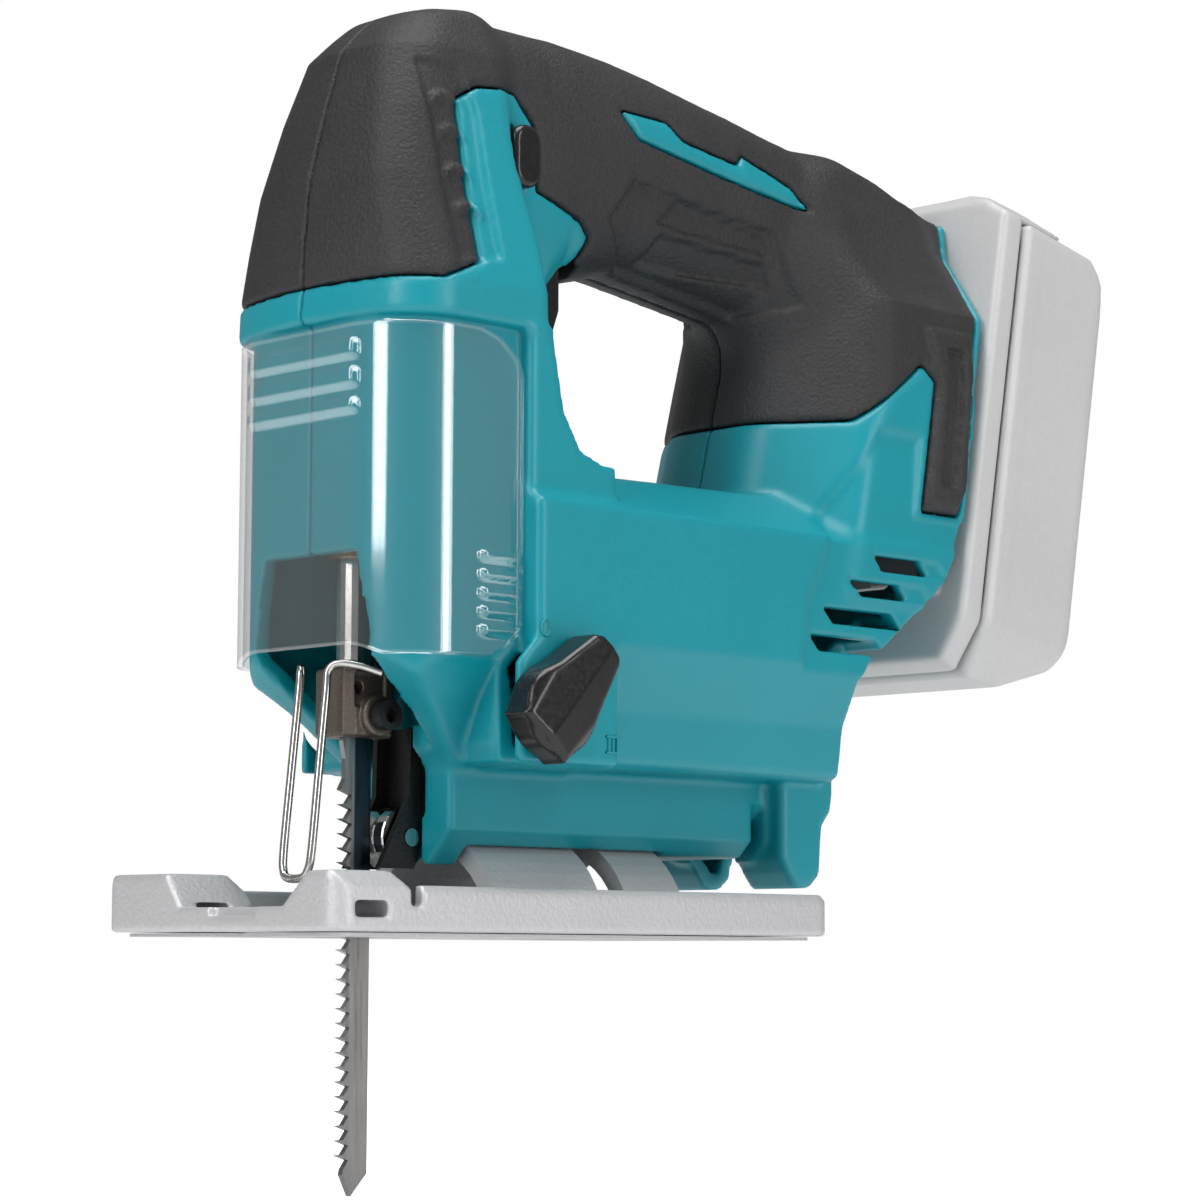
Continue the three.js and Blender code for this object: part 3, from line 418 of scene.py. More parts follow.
print("finishes made")


# The tool's outer form, left half; the right half is its mirror image

form = {
    "headZ": [128.5, 137, 148, 160, 176, 190, 199, 203],
    "headFront": [-52.6, -52.3, -51.6, -50.5, -46.4, -42, -33, -20],
    "headHalf": [32.8, 32.6, 29.6, 26.2, 22.7, 18.8, 12, 7],
    "headRear": [-9, -9, -9, -10.5, -12.7, -13, -13, -13],
    "handleTop": [(-34, 196), (-24, 201.4), (-14, 203), (12, 203), (28, 201.8), (42, 200), (55, 197.8),
                  (68, 195.6), (81, 192.9), (102, 189.3), (111.5, 185.6), (120, 181.9), (128, 179.8),
                  (140, 178.6)],
    "handleBottom": [(-34, 134), (6, 137), (13, 146), (32, 151), (46, 149.2), (67, 146.4), (82, 144),
                     (94, 138), (146, 120)],
    "handleHalf": [(-34, 17), (60, 16.8), (80, 18), (100, 20), (120, 24), (146, 28)],
    "rearSide": [(60, 104), (60, 150), (86, 176), (100, 189.5), (111.5, 185.6), (128, 179.8), (140.2, 178.4),
                 (134.9, 151), (129.8, 133), (125.8, 106.5), (123.9, 97), (117, 85), (108, 78), (70, 78)],
    "rearHalf": [(0, 192), (9, 190), (16, 183), (20, 168), (33.4, 151), (35.2, 133), (36, 96), (36, 70),
                 (0, 70)],
    "bodySide": [(-22.5, 40), (-22.5, 57), (-16.5, 62.5), (-16.5, 129), (-9.5, 129), (-6, 112), (-1, 104),
                 (6, 101.5), (60, 103), (80, 105.5), (125.8, 106), (123.9, 96.6), (116.5, 84.6),
                 (110.2, 78.5), (92, 64.4), (86.5, 59.6), (86.5, 36), (-18, 36)],
    "bodyHalf": [(0, 104), (20, 102.6), (36.2, 92), (36.2, 62.5), (30, 49), (28.5, 38), (26, 36.1), (0, 36)],
    "panelSide": [(-21.7, 36), (-21.7, 57.5), (-16.2, 63.5), (-16.2, 68), (6.8, 68), (6.8, 36)],
    "panelHalf": [(0, 68), (36.2, 68), (36.2, 36.4), (27, 36.1), (0, 36.1)],
    "coreSide": [(-49.6, 132), (-49.6, 60), (-44, 55), (-33, 46), (-23.5, 36), (-10, 36), (-10, 132)],
    "coreHalf": [(0, 132), (29.6, 132), (29.6, 58), (24, 50), (16.5, 34), (0, 34)],
    "neckSide": [(-23.5, 15.2), (-23.5, 37), (88, 37), (88, 18.7), (-15.7, 18.7), (-15.7, 15.2)],
    "neckHalf": [(0, 40), (16.5, 40), (16.5, 22.7), (9.5, 15.3), (0, 15.2)],
    "footSide": [(73.8, 37), (73.8, 19), (76, 15.5), (79, 12), (83.8, 12.2), (87, 15), (88, 26.4), (91, 30),
                 (91.6, 34), (91.6, 56), (84, 60)],
    "gripSide": [(-60, 136.5), (-40, 136.5), (-28.5, 141.5), (-28.5, 178), (-22, 182), (-6, 184.5),
                 (-0.5, 178), (0.5, 163.7), (15, 159.6), (19, 156.4), (17.6, 152), (13.6, 146), (13.6, 140),
                 (62, 120.5), (88.8, 121.2), (109.8, 136.7), (114, 133), (108.2, 101.2), (121.6, 101.2),
                 (123.6, 106), (127, 133), (131.8, 151), (137.4, 180), (137.4, 215), (-60, 215)],
    "accentSide": [(26.7, 187), (41.9, 186.8), (47.3, 183.3), (65.2, 180.8), (66.9, 183.2), (82.2, 178.1),
                   (87.4, 172.9), (85.7, 172.9), (32.5, 181)],
    "topLine": [(-60, 0), (-60, 180), (-42.5, 193), (-33, 199), (-24, 202), (-14.8, 203.2), (12, 203.2),
                (28, 202), (42, 200.2), (55, 198), (68, 195.8), (81, 193), (102, 189.5), (111.5, 185.8),
                (120, 182), (128, 180), (137.5, 178.8), (150, 178.6), (150, 0)],
    "wall": 4.0, "gap": 0.22, "step": 0.88,
}


def lineAt(pairs, values):
    return np.interp(values, [p[0] for p in pairs], [p[1] for p in pairs]).astype(np.float32)


def toolSkin(g):
    f = form
    x, z = g.axes[0], g.axes[2]
    frontAt = np.interp(z, f["headZ"], f["headFront"])[None, None, :]
    halfAt = np.interp(z, f["headZ"], f["headHalf"])[None, None, :]
    rearAt = np.interp(z, f["headZ"], f["headRear"])[None, None, :]
    head = roundMax(frontAt - g.x + 0.006 * g.absY ** 2, g.absY - halfAt, 9)
    head = roundMax(roundMax(head, g.x - rearAt, 4), np.maximum(g.z - 203.1, 128.6 - g.z), 1.5)
    top, bottom = lineAt(f["handleTop"], x), lineAt(f["handleBottom"], x)
    half, rise, middle = lineAt(f["handleHalf"], x), (top - bottom) / 2, (top + bottom) / 2
    a, b, m = half[:, None, None], rise[:, None, None], middle[:, None, None]
    squareness = 2.6
    reach = ((g.absY / a) ** squareness + (np.abs(g.z - m) / b) ** squareness) ** (1 / squareness)
    handle = (reach - 1) * np.minimum(a, b)
    handle = roundMax(handle, np.maximum(-34 - g.x, g.x - 128), 6)
    leaned = g.x - 0.255 * (g.z - 105)  # the rear post's nose leans back with height
    nose = roundMax(68.3 - leaned, 0.651 * (g.absY - 12.7) - 0.759 * (leaned - 68.3), 4)
    rear = roundMax(roundMax(g.side(f["rearSide"]), g.front(f["rearHalf"]), 2.5), nose, 3)
    bodyPart = roundMax(g.side(f["bodySide"]), g.front(f["bodyHalf"]), 1.6)
    neckWall = roundMax(g.absY - 32.8, np.maximum(-16.5 - g.x, g.x - 10), 2)
    neckWall = roundMax(neckWall, g.side(f["bodySide"]), 1)
    panel = roundMax(g.side(f["panelSide"]), g.front(f["panelHalf"]), 1)
    corePlan = roundMax(-49.6 - g.x, g.absY - 29.6, 16)
    core = roundMax(roundMax(g.side(f["coreSide"]), g.front(f["coreHalf"]), 1), corePlan, 1)
    neck = roundMax(g.side(f["neckSide"]), g.front(f["neckHalf"]), 1)
    foot = roundMax(g.side(f["footSide"]), g.absY - 22, 1.6)
    skin = roundMin(head, handle, 9)
    skin = roundMin(skin, rear, 9)
    skin = roundMin(skin, roundMin(bodyPart, neckWall, 1.5), 2.5)
    skin = roundMin(skin, panel, 0.5)
    skin = roundMin(skin, core, 0.4)
    skin = roundMin(skin, roundMin(neck, foot, 2), 1.5)
    return roundMax(skin, g.side(f["topLine"]), 2.5)


openings = {
    "bladeWay": [(0, 80), (15, 80), (19, 62), (14, 40), (6.5, 30), (0, 30)],
    "leverShaft": 5.3, "leverCentre": (-16.5, 47), "dome": 23.45,
    "rows": [(91.5, 108.5, 87.4), (84, 101, 81.0), (75, 99, 74.2), (70.5, 93.5, 67.6)],  # front, rear, height
    "blindRows": [(108.5, 115, 87.4), (101, 109.5, 81.0)], "rowHalf": 1.8, "rowLean": 0.9, "rowReach": 24,
    "mountPlace": (126.6, 64.5), "mountTilt": 10, "mountHalf": 28.3,
}


def ventRow(g, low, high, rowZ):  # a slot whose ends lean forward with height
    slant = g.x + openings["rowLean"] * (g.z - rowZ)
    return np.maximum(low - slant, slant - high), np.abs(g.z - rowZ) - openings["rowHalf"]


# Everything cut through the wall: blade way, roller window, cover slots, trigger and lock-off openings,
# lever shaft hole, vents, dome seat, foot channel, battery mount pocket and room for the tilted base.
def toolOpenings(g):
    o = openings
    way = roundMax(g.front(o["bladeWay"]), g.box((-52, -27), (-40, 40), (20, 90)), 1)
    rollerWindow = np.minimum(g.box((-30, -15), (-6.9, 6.9), (10, 36), 0.5),
                              g.box((-27, -17.5), (-8.2, 8.2), (26, 46.5)))
    coverSlots = np.maximum(np.maximum(np.abs(g.absY - 31.9) - 2.1, np.abs(g.x + 19.8) - 3.4),
                            np.abs(g.z - 48) - 18)
    triggerRoom = g.box((-8, 19.5), (-9.8, 9.8), (128, 166), 1)
    lockOffRoom = roundMax(np.abs(g.x + 8.2) - 4.9, np.abs(g.z - 169) - 7.7, 4.8)
    leverHole = g.rod(1, o["leverShaft"], o["leverCentre"], -40, -30)
    cuts = [way, rollerWindow, coverSlots, triggerRoom, lockOffRoom, leverHole]
    for low, high, rowZ in o["rows"]:
        ends, rise = ventRow(g, low, high, rowZ)
        cuts.append(np.maximum(roundMax(ends, rise, 0.4), o["rowReach"] - g.absY))
    cuts.append(g.rod(0, o["dome"], (0, 0), -15.7, 43.1))
    cuts.append(g.box((70, 95), (-7, 7), (8, 24), 0.5))
    tilt = math.radians(o["mountTilt"])
    dx, dz = g.x - o["mountPlace"][0], g.z - o["mountPlace"][1]
    back = dx * math.cos(tilt) - dz * math.sin(tilt)
    rise = dx * math.sin(tilt) + dz * math.cos(tilt)
    mountDepth = np.maximum(-16.6 - back, back - 20)
    mountRise = np.maximum(-30 - rise, rise - 84)
    cuts.append(np.maximum(mountDepth, np.maximum(g.absY - o["mountHalf"], mountRise)))
    tiltRoom = np.maximum(g.z - g.absY - 14.9, np.maximum(69.1 - g.x, g.x - 72.9))
    cuts.append(np.maximum(tiltRoom, g.z - 33))
    opening = cuts[0]
    for piece in cuts[1:]:
        opening = np.minimum(opening, piece)
    return opening


# Shallow work on the skin: outline of (x, z), depth (negative stands proud), edge width, least |y|.
relief = {
    "areas": [
        ([(-35.5, 141), (-23, 142.5), (-23.5, 176), (-27, 186), (-37, 186)], 1.1, 0.4, 5),  # head side band
        ([(24, 161.5), (31, 171.5), (77, 166), (84, 149), (70, 146), (36, 150)], 1.2, 0.3, 6),  # grip panel
        ([(40, 163), (46, 169), (74, 164.5), (76, 160.5)], 1.0, 0.3, 8),  # its upper step
        ([(38, 154), (42, 161), (75, 158.5), (78, 153)], 1.0, 0.3, 8),  # its lower step
        # the raised bar down the rear edge and its recess
        ([(112, 146), (114.5, 132), (111.5, 118), (109.3, 103), (119.5, 102.6), (123.5, 107.5), (127, 124),
          (128, 146)], -1.2, 0.3, 20),
        ([(118, 131), (119, 142), (124.5, 142), (123, 126), (119.5, 108), (114, 108)], 1.6, 0.3, 20),
        # the flank behind the body's crease
        ([(94, 119), (76, 93), (68, 77), (66, 62), (112, 62), (130, 90), (130, 100), (106, 100), (108, 119)],
         1.1, 1.6, 20),
    ],
    "chevrons": [(-31.5, 178.5), (-31, 170.7), (-30.6, 162), (-29.5, 153.8)],  # middle of each arched ridge
    "chevronLift": 1.3, "chevronHalf": 0.9, "chevronReach": 3.6, "chevronArch": 0.11,
}


def areaRelief(g):
    total = 0
    for outline, depth, width, span in relief["areas"]:
        total = total + depth * insideShare(g.side(outline), width) * insideShare(span - g.absY, 1.0)
    return total


def ventRelief(g):
    total = 0
    for low, high, rowZ in openings["blindRows"]:
        hole = np.maximum(*ventRow(g, low, high, rowZ))
        total = total + insideShare(hole, 0.3) * insideShare(openings["rowReach"] - g.absY, 1.0)
    return total


def chevronRelief(g):
    total = 0
    for x0, z0 in relief["chevrons"]:
        drop = relief["chevronArch"] * (g.x - x0) ** 2
        ridge = np.maximum(np.abs(g.z - z0 + drop) - relief["chevronHalf"],
                           np.abs(g.x - x0) - relief["chevronReach"])
        total = total - relief["chevronLift"] * insideShare(ridge, 0.4) * insideShare(10 - g.absY, 1.0)
    return total


toolGrid = Grid((-56, 146), (-38.4, 1.7), (9.5, 206), form["step"])
skin = toolSkin(toolGrid) + areaRelief(toolGrid) + chevronRelief(toolGrid) + ventRelief(toolGrid)
gripArea = toolGrid.side(form["gripSide"])
accentArea = toolGrid.side(form["accentSide"])
gripArea = np.maximum(gripArea, -accentArea)
edgeBevel = 0.5 * np.clip(1.2 - np.abs(gripArea), 0, 1.2)  # both plastics fall away a little at their joint
skin = skin + edgeBevel
wall = np.maximum(skin, -(skin + form["wall"]))
wall = np.maximum(wall, -toolOpenings(toolGrid))
wall = np.maximum(wall, toolGrid.y + 0.15)
gap = form["gap"]
print("tool fields worked out")

tealField = np.maximum(wall, -gripArea + gap)
gripField = np.maximum(wall, gripArea + gap)
for sideName, flip in (("left", 1), ("right", -1)):
    for part, field, finish in (("housing", tealField, "teal_plastic"), ("grip", gripField, "soft_black")):
        points, faces = fieldSurface(field, toolGrid)
        points = points * np.array([1, flip, 1])
        faces = faces if flip > 0 else faces[:, ::-1]
        obj = meshObject(part + "_" + sideName + "_shell", points, faces, finishes[finish], "housing")
        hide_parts(part + "_" + sideName)
        print(obj.name, 2 * len(faces), "triangles")


# Battery pack, drawn upright and leaned back

pack = {
    "origin": (126.6, 0, 64.5), "tilt": 10, "step": 0.9,
    "front": 1.6, "rear": 36.6, "half": 37.3, "corner": 7, "squareTo": 20,
    "caseSide": [(0, -1), (14, -1), (30, 7), (36.6, 17), (36.6, 100.8), (33.6, 108.8),
                 (27.6, 113.8), (0, 114.8)],
    "caseEnds": [(0, 130), (38, 130), (38, 13.4), (30.5, -1), (0, -1)],
    "panelFront": 8, "panelRise": (18, 108), "panelDepth": 0.4,
    "hollow": [(0.6, 15), (30, 15), (33.4, 19), (33.4, 99), (29, 108), (0.6, 111)], "hollowHalf": 34,
    "flange": [(-6.2, 2), (-6.2, 119), (-2, 123.4), (1, 124), (1.3, 124), (1.3, 0)],
    "hump": [(0, 115.1), (0, 124), (10, 123.4), (17, 116.8), (18, 114.9)], "upperHalf": 36,
    "humpFront": [(0, 123.6), (13, 123.4), (20, 123.6), (27, 121), (32, 117.5), (35.8, 115.2), (35.8, 13),
                  (29, 0), (0, 0)],
}


def leaned(points):
    t = math.radians(pack["tilt"])
    x = pack["origin"][0] + points[:, 0] * math.cos(t) + points[:, 2] * math.sin(t)
    z = pack["origin"][2] - points[:, 0] * math.sin(t) + points[:, 2] * math.cos(t)
    return np.stack([x, points[:, 1], z], 1)


def batteryCase(g):
    p = pack
    square = np.maximum(p["front"] - g.x, g.absY - p["half"])
    plan = roundMax(np.maximum(p["front"] - g.x, g.x - p["rear"]), g.absY - p["half"], p["corner"])
    plan = np.where(g.x < p["squareTo"], square, plan)  # only the rear edges are rounded
    case = roundMax(roundMax(plan, g.side(p["caseSide"]), 2.5), g.front(p["caseEnds"]), 2)
    low, high = p["panelRise"]
    panel = np.maximum(p["half"] - p["panelDepth"] - g.absY, p["panelFront"] - g.x)
    case = np.maximum(case, -np.maximum(panel, np.maximum(low - g.z, g.z - high)))
    hollow = roundMax(g.side(p["hollow"]), g.absY - p["hollowHalf"], 2)
    return np.maximum(case, -hollow)


# flange and hump, then the slider with a rail groove down each side and the pockets for the contacts
def batteryTop(g):
    p = pack
    flange = roundMax(g.side(p["flange"]), g.absY - p["upperHalf"], 1.5)
    hump = roundMax(g.side(p["hump"]), g.absY - p["upperHalf"], 1.5)
    upper = roundMax(np.minimum(flange, hump), g.front(p["humpFront"]), 1.5)
    slider = g.box((-15, -5), (-27.6, 27.6), (18, 82.5), 1)
    grooveEnds = np.maximum(24.6 - g.absY, np.maximum(10 - g.z, g.z - 90))
    groove = np.maximum(np.maximum(-11 - g.x, g.x + 7.4), grooveEnds)
    releasePocket = g.box((-17, -5.2), (-12.8, 12.8), (17, 32.2))
    pockets = np.minimum(releasePocket, g.box((-17, -12), (-16.3, 16.3), (48, 79)))
    return np.maximum(np.minimum(upper, slider), -np.minimum(groove, pockets))


packGrid = Grid((-18, 40), (-40, 40), (-4, 128), pack["step"])
for name, field, node in (("battery_case", batteryCase(packGrid), "battery_lower_case"),
                          ("battery_top", batteryTop(packGrid), "battery_upper_case")):
    fieldObject(name, field, packGrid, finishes["pale_grey_plastic"], "battery", leaned)
    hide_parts(node)
print("battery made")


# Dust cover: a sheet round the front and sides, top and bottom following the side outline

cover = {
    "front": -51.4, "half": 31.5, "corner": 17.3, "rear": -17.6, "across": 150, "up": 90, "thick": 1.2,
    "bottom": [(-53, 61.5), (-49, 57.8), (-28, 57.8), (-20.5, 61), (-17, 66)],  # (x, z) of the two edges
    "top": [(-53, 127.3), (-29, 127.3), (-24, 125.8), (-19, 121.8), (-17, 117)],
    "frontRibs": [(108.6, 111.4), (114, 118), (120, 124)], "frontRibLift": 1.1, "frontRibHalf": 17,
    "sideRibs": np.linspace(63.7, 79.2, 5), "sideRibLift": 0.9, "sideRibHalf": 0.9,
}


# u runs from the left rear corner round the front to the right rear; v runs up between the bottom and the
# top line of the side outline; ribs push the sheet outwards along its normal.
def coverSheet():
    c = cover
    straight = c["rear"] - (c["front"] + c["corner"])
    arc = 0.5 * np.pi * c["corner"]
    flat = 2 * (c["half"] - c["corner"])
    length = 2 * straight + 2 * arc + flat
    s = np.linspace(0, length, c["across"])
    t = np.minimum(s, length - s)
    side = np.where(s <= length / 2, -1, 1)
    turn = np.clip((t - straight) / c["corner"], 0, 0.5 * np.pi)
    x = np.where(t < straight, c["rear"] - t, c["front"] + c["corner"] * (1 - np.sin(turn)))
    past = np.maximum(t - straight - arc, 0)
    y = np.where(t < straight, c["half"], c["half"] - c["corner"] * (1 - np.cos(turn)) - past)
    nx, ny = -np.sin(turn), np.cos(turn)
    low, high = lineAt(c["bottom"], x), lineAt(c["top"], x)
    v = np.linspace(0, 1, c["up"])[None, :]
    z = low[:, None] + v * (high - low)[:, None]
    out = np.zeros_like(z)
    width = np.abs(y)[:, None]
    for ribLow, ribHigh in c["frontRibs"]:
        band = np.abs(z - 0.5 * (ribLow + ribHigh)) - 0.5 * (ribHigh - ribLow)
        band = np.maximum(band, width - c["frontRibHalf"])
        out += c["frontRibLift"] * insideShare(np.where(x[:, None] < -40, band, 9), 0.5)
    for ribZ in c["sideRibs"]:
        band = np.maximum(np.abs(z - ribZ) - c["sideRibHalf"], np.abs(x[:, None] + 24) - 5)
        out += c["sideRibLift"] * insideShare(band, 0.4)
    pushed = y[:, None] + out * ny[:, None]
    points = np.stack([x[:, None] + out * nx[:, None], side[:, None] * pushed, z], -1)
    return points.reshape(-1, 3), gridFaces(c["across"], c["up"])


points, faces = coverSheet()
coverObj = meshObject("cover_clear", points, faces, finishes["clear_plastic"], "dust_cover")
thick = coverObj.modifiers.new("thickness", "SOLIDIFY")
thick.thickness = cover["thick"] * mm
thick.offset = 0
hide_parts("dust_cover")


# Wire guard: a bright wire bent down each side of the blade and joined below

wire = {
    "radius": 0.9,
    "half": [(-40, 13.5, 54.9), (-43, 10, 56.4), (-46, 6.2, 57), (-47.4, 4.6, 55.4), (-47.8, 4.5, 51),
             (-49.5, 4.55, 35), (-51.2, 4.6, 18.5), (-51.7, 4, 13.8), (-51.9, 2.2, 12.2)],
}
farHalf = [(x, -y, z) for x, y, z in reversed(wire["half"])]
points, faces = roundSweep(smoothPath(wire["half"] + farHalf, 12), wire["radius"], 14)
wireObj = meshObject("guard_wire", points, faces, finishes["bright_steel"], "housing")
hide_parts("wire_guard")
print("cover and wire made")


# Change lever: a tapered arm with a crowned face, on a round boss

lever = {
    "centre": (-16.5, 47), "angle": 48, "boss": 9.6, "shaft": 5, "step": 0.4, "tip": 19.0, "tail": -8.5,
    "taper": [(-9, 7.6), (3, 8.6), (17.5, 4.8), (19.2, 2.5)],  # half width along the arm
    "face": -46, "crown": 0.16, "back": -36.7,
}


def leverField(g):
    t = math.radians(lever["angle"])
    dx, dz = g.x - lever["centre"][0], g.z - lever["centre"][1]
    along, across = dx * math.cos(t) + dz * math.sin(t), -dx * math.sin(t) + dz * math.cos(t)
    arm = np.maximum(np.abs(across) - lineAt(lever["taper"], along), along - lever["tip"])
    arm = np.maximum(arm, lever["tail"] - along)
    crown = np.maximum(lever["face"] + lever["crown"] * np.abs(across) - g.y, g.y - lever["back"])
    boss = g.rod(1, lever["boss"], lever["centre"], -43.9, lever["back"], 1.2)
    shaft = g.rod(1, lever["shaft"], lever["centre"], -37, -33)
    return np.minimum(roundMin(roundMax(arm, crown, 1.4), boss, 1.0), shaft)


leverGrid = Grid((-30, 6), (-47.5, -31), (34, 66), lever["step"])
fieldObject("lever_knob", leverField(leverGrid), leverGrid, finishes["gloss_black"], "lever")
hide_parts("change_lever")

# Dial marks: raised strokes on the left panel, a ring for 0 and three bars between two lines for III.
marks = {
    "ringPlace": (-14.8, 64.6), "ringRadius": 1.7, "ringSlim": 0.7,
    "barsPlace": (5.0, 41.0), "barPitch": 1.3, "barHeight": 3.4, "lineReach": 1.6, "stroke": 0.28, "y": -36.3,
}


def markObject(name, x, z):
    path = np.stack([x + 0 * z, 0 * x + 0 * z + marks["y"], z + 0 * x], 1)
    points, faces = roundSweep(path, marks["stroke"], 8, fixed=(0.2, 1.0, 0.1))
    meshObject(name, points, faces, finishes["teal_plastic"], "housing")


turn = np.linspace(0, 2 * np.pi * 0.98, 30)
markObject("dial_mark_0", marks["ringPlace"][0] + marks["ringSlim"] * marks["ringRadius"] * np.cos(turn),
           marks["ringPlace"][1] + marks["ringRadius"] * np.sin(turn))
barX, barZ = marks["barsPlace"]
stroke = np.linspace(-1, 1, 6)
for i in range(3):
    markObject("dial_mark_3_" + str(i), barX + (i - 1) * marks["barPitch"],
               barZ + 0.5 * marks["barHeight"] * stroke)
for i, end in enumerate((-0.5, 0.5)):
    markObject("dial_mark_3_line_" + str(i), barX + marks["lineReach"] * marks["barPitch"] * stroke,
               barZ + end * marks["barHeight"])


# Trigger and lock-off button

trigger = {
    "side": [(-3, 162), (12, 160), (15.6, 150.5), (15.6, 140), (13.6, 134.6), (9.6, 133.2), (6.8, 136),
             (4, 148), (-3, 156)],
    "half": 8.6, "edge": 1.6, "step": 0.4,
}
lockOff = {"x": -8.2, "z": 169, "halfLength": 4.2, "halfHeight": 7, "edge": 4.0, "reach": 23.4,
           "inner": 14.2, "waist": (2.4, 3.5, 15), "step": 0.4}


def lockOffField(g):
    k = lockOff
    dx, dz = np.abs(g.x - k["x"]), np.abs(g.z - k["z"])
    pill = roundMax(dx - k["halfLength"], dz - k["halfHeight"], k["edge"])
    key = roundMax(pill, g.absY - k["reach"], 1.5)
    waist = np.maximum(np.maximum(dx - k["waist"][0], dz - k["waist"][1]), g.absY - k["waist"][2])
    return np.minimum(np.maximum(key, k["inner"] - g.absY), waist)


g = Grid((-6, 19), (-10, 10), (131, 164), trigger["step"])
triggerField = roundMax(g.side(trigger["side"]), g.absY - trigger["half"], trigger["edge"])
fieldObject("trigger_key", triggerField, g, finishes["gloss_black"], "trigger")
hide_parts("trigger")
g = Grid((-14, -2), (-25, 25), (160, 178), lockOff["step"])
fieldObject("lock_off_key", lockOffField(g), g, finishes["gloss_black"], "lock_off")
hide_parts("lock_off_button")
print("controls made")


# Base casting: a rim round an open tray, with two bosses at its front corners

base = {
    "length": 72.5, "half": 38.5, "corner": 4.5, "step": 0.7,
    "bossSide": [(-80, 1), (-80, 9.6), (-70, 14), (-57, 14), (-52.6, 9), (-52.6, 1)],
    "nearBoss": [(-38.5, 5), (-38.5, 9.8), (-35.5, 13), (-29, 13), (-21, 5.9), (-21, 5)],
    "farBoss": [(38.5, 5), (12, 5), (12, 5.9), (17, 13), (35.5, 13), (38.5, 9.8)],
    "bladeWay": [(-54, -13), (-46, -21), (-15.6, -21), (-15.6, 21), (-46, 21), (-54, 13)],
}


def baseField(g):
    outer = roundMax(np.abs(g.x) - base["length"], g.absY - base["half"], base["corner"])
    rim = roundMax(outer, np.maximum(0.9 - g.z, g.z - 9.4), 0.8)
    lip = np.maximum(outer + 0.9, np.maximum(5 - g.z, g.z - 10.2))
    tray = g.box((-54, 69.5), (-35.5, 35.5), (4, 20), 1)
    frontStep = g.box((-90, -50), (-40, 40), (5.9, 20))
    frame = np.maximum(np.maximum(np.minimum(rim, lip), -tray), -frontStep)
    bosses = np.minimum(g.section(base["nearBoss"]), g.section(base["farBoss"]))
    bosses = roundMax(roundMax(bosses, g.side(base["bossSide"]), 0.7), outer, 0.7)
    casting = np.minimum(frame, bosses)
    frontNotch = g.box((-80, -70.6), (-12.4, 2.2), (4.2, 10))
    bladeWay = roundMax(g.plan(base["bladeWay"]), g.z - 6, 0.5)
    guideWay = g.box((-67.4, -59), (-45, 45), (3.7, 7.1), 0.4)
    boltWay = g.box((3, 37), (-17, 17), (0, 6))
    for piece in (frontNotch, bladeWay, guideWay, boltWay):
        casting = np.maximum(casting, -piece)
    return casting


g = Grid((-75, 75), (-41, 41), (-0.6, 15), base["step"])
fieldObject("base_casting", baseField(g), g, finishes["cast_aluminium"], "base")
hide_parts("base_plate")
print("base made")


# Blade clamp, with its holes and the boss of its screw

clamp = {
    "plan": [(-43.6, -5), (-41.6, -6.6), (-31.5, -6.6), (-29.5, -4), (-29.5, 4.6), (-31, 6.2), (-41.6, 6.2),
             (-43.6, 4)],
    "bottom": 42, "top": 56.5, "edge": 0.7, "step": 0.32, "screw": (-36, 46.4), "screwBoss": 4.4,
    "screwHole": 2.4, "rod": (-36, 0), "rodHole": 4.8, "sight": (-40.3, 52.3), "sightHole": 1.3,
}


def clampField(g):
    c = clamp
    block = roundMax(g.plan(c["plan"]), np.maximum(c["bottom"] - g.z, g.z - c["top"]), c["edge"])
    sunk = np.maximum(np.maximum(-41.5 - g.x, g.x + 33.4), np.maximum(np.abs(g.z - 51.8) - 3.4, g.y + 6.1))
    body = np.minimum(np.maximum(block, -sunk), g.rod(1, c["screwBoss"], c["screw"], -8.4, -3, 0.6))
    bladeSlot = g.box((-40.3, -31.7), (-1.2, 1.2), (41, 51.5))
    for hole in (bladeSlot, g.rod(2, c["rodHole"], c["rod"], 52.8, 60),
                 g.rod(1, c["sightHole"], c["sight"], -9, -3),
                 g.rod(1, c["screwHole"], c["screw"], -12, -1.5)):
        body = np.maximum(body, -hole)
    return body


g = Grid((-46, -27.5), (-10.5, 8.5), (40.5, 58.2), clamp["step"])
fieldObject("clamp_block", clampField(g), g, finishes["sintered_steel"], "plunger")
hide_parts("blade_clamp")


# Camera, light, floor

view = {"place": (-490.84, -541.0, -4.48), "turn": 45.74, "pitch": 6.17, "roll": 0.21, "focal": 3328.1}


def makeCamera():
    turn, pitch, roll = (math.radians(view[k]) for k in ("turn", "pitch", "roll"))
    forward = np.array([math.cos(turn) * math.cos(pitch), math.sin(turn) * math.cos(pitch), math.sin(pitch)])
    level = np.array([math.sin(turn), -math.cos(turn), 0.0])
    lift = np.cross(level, forward)
    right = math.cos(roll) * level + math.sin(roll) * lift
    up = -math.sin(roll) * level + math.cos(roll) * lift
    data = bpy.data.cameras.new("camera")
    data.sensor_width = 36
    data.lens = view["focal"] / 1200 * 36
    data.clip_start, data.clip_end = 0.05, 60
    camera = bpy.data.objects.new("camera", data)
    axes = np.stack([right, up, -forward], 1)
    placed = np.hstack([axes, np.array([view["place"]]).T * mm])
    camera.matrix_world = Matrix(np.vstack([placed, [0, 0, 0, 1]]).tolist())
    bpy.context.scene.collection.objects.link(camera)
    bpy.context.scene.camera = camera


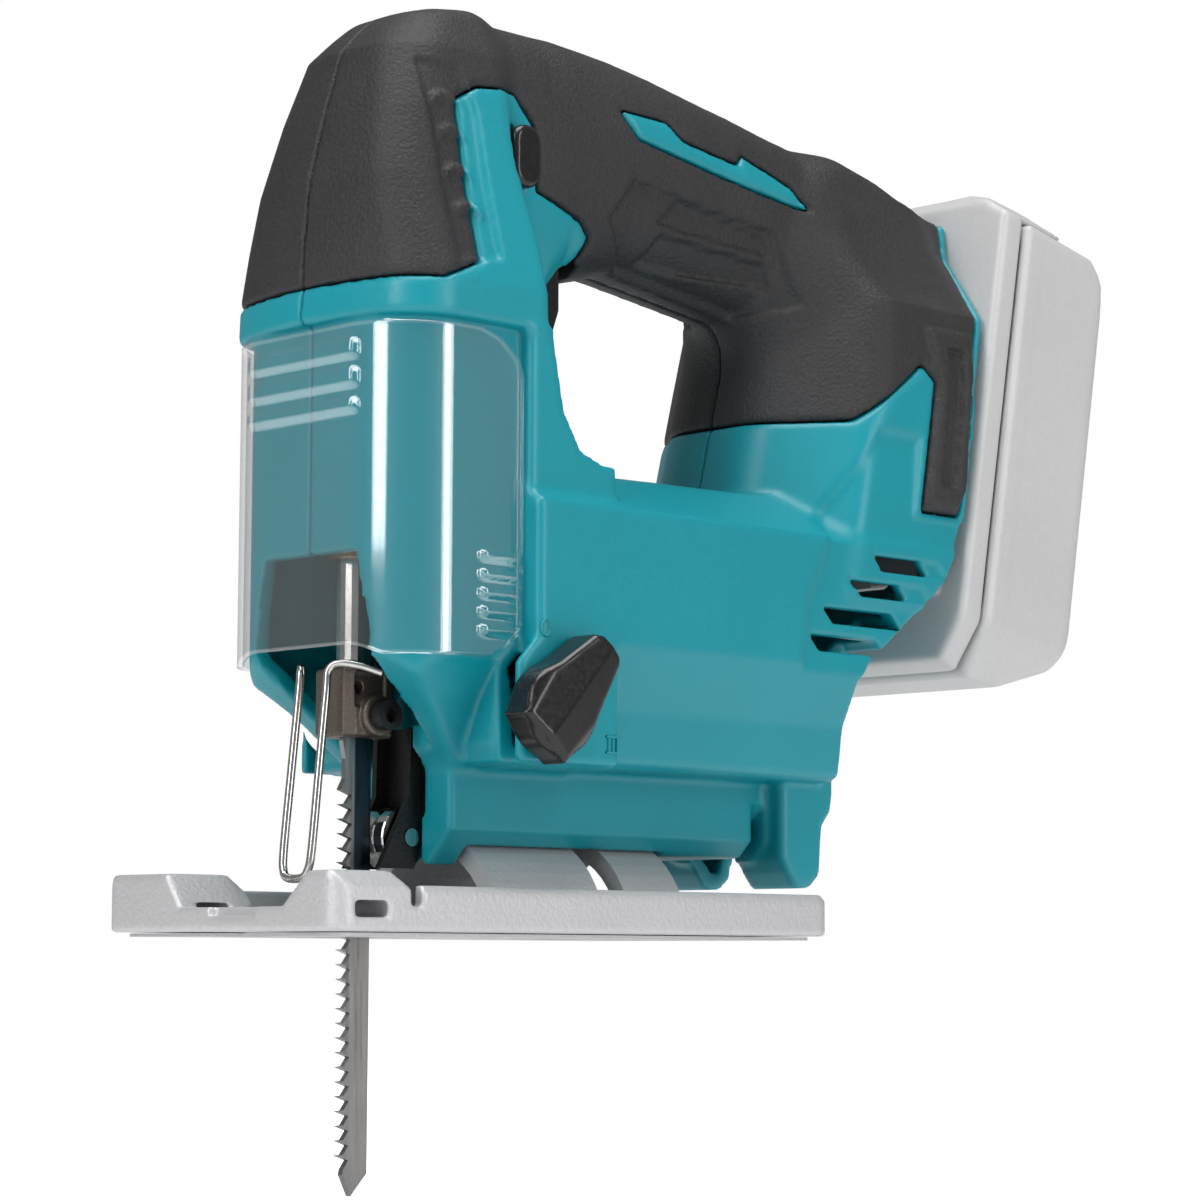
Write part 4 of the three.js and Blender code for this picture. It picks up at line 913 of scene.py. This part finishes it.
def areaLight(name, place, aim, size, power):
    data = bpy.data.lights.new(name, "AREA")
    data.shape = "RECTANGLE"
    data.size, data.size_y = size
    data.energy = power
    lamp = bpy.data.objects.new(name, data)
    back = np.array(place, float) - np.array(aim, float)
    back /= np.linalg.norm(back)
    side = np.cross((0, 0, 1), back)
    side /= np.linalg.norm(side)
    axes = np.stack([side, np.cross(back, side), back], 1)
    lamp.matrix_world = Matrix(np.vstack([np.hstack([axes, np.array([place]).T]), [0, 0, 0, 1]]).tolist())
    bpy.context.scene.collection.objects.link(lamp)


makeCamera()
studio = {"fill": 0.26, "floorFill": 0.12}
lights = {
    "key": dict(place=(-1.3, -0.2, 0.8), aim=(0, 0, 0.1), size=(0.5, 1.2), power=11),
    "side": dict(place=(0.35, -1.5, 0.55), aim=(0, 0, 0.1), size=(0.35, 1.3), power=8),
    "top": dict(place=(-0.1, -0.2, 1.3), aim=(0, 0, 0.1), size=(0.8, 0.8), power=12),
}
for name, lamp in lights.items():
    areaLight(name, **lamp)
world = bpy.data.worlds.new("studio")
world.use_nodes = True
background = world.node_tree.nodes["Background"]
background.inputs["Color"].default_value = (1, 1, 1, 1)
# the backdrop is white to look at, and lights the tool less than that


def seenStrength(tree, socket, fill, seen):
    ray, strength = tree.nodes.new("ShaderNodeLightPath"), tree.nodes.new("ShaderNodeMapRange")
    strength.inputs["To Min"].default_value = fill
    strength.inputs["To Max"].default_value = seen
    tree.links.new(ray.outputs["Is Camera Ray"], strength.inputs["Value"])
    tree.links.new(strength.outputs["Result"], socket)


seenStrength(world.node_tree, background.inputs["Strength"], studio["fill"], 1.0)
bpy.context.scene.world = world
bpy.context.scene.view_settings.view_transform = "Standard"

floorLook = dict(colour=(0.93, 0.93, 0.93), shade=(0.95, 0.95, 0.95), rough=0.7, grain=400, bump=0.02,
                 specular=0.2)
floorMesh = bpy.data.meshes.new("floor")
floorEdge, floorZ = 12.0, -0.0565
corners = [(-floorEdge, -floorEdge), (floorEdge, -floorEdge), (floorEdge, floorEdge), (-floorEdge, floorEdge)]
floorMesh.from_pydata([(x, y, floorZ) for x, y in corners], [], [(0, 1, 2, 3)])
floorFinish = makeFinish("floor_white", floorLook)
floorShader = floorFinish.node_tree.nodes["Principled BSDF"]
floorShader.inputs["Emission Color"].default_value = (1, 1, 1, 1)
seenStrength(floorFinish.node_tree, floorShader.inputs["Emission Strength"], studio["floorFill"], 0.85)
floorMesh.materials.append(floorFinish)
floorObj = bpy.data.objects.new("floor", floorMesh)
bpy.context.scene.collection.objects.link(floorObj)
print("studio set")
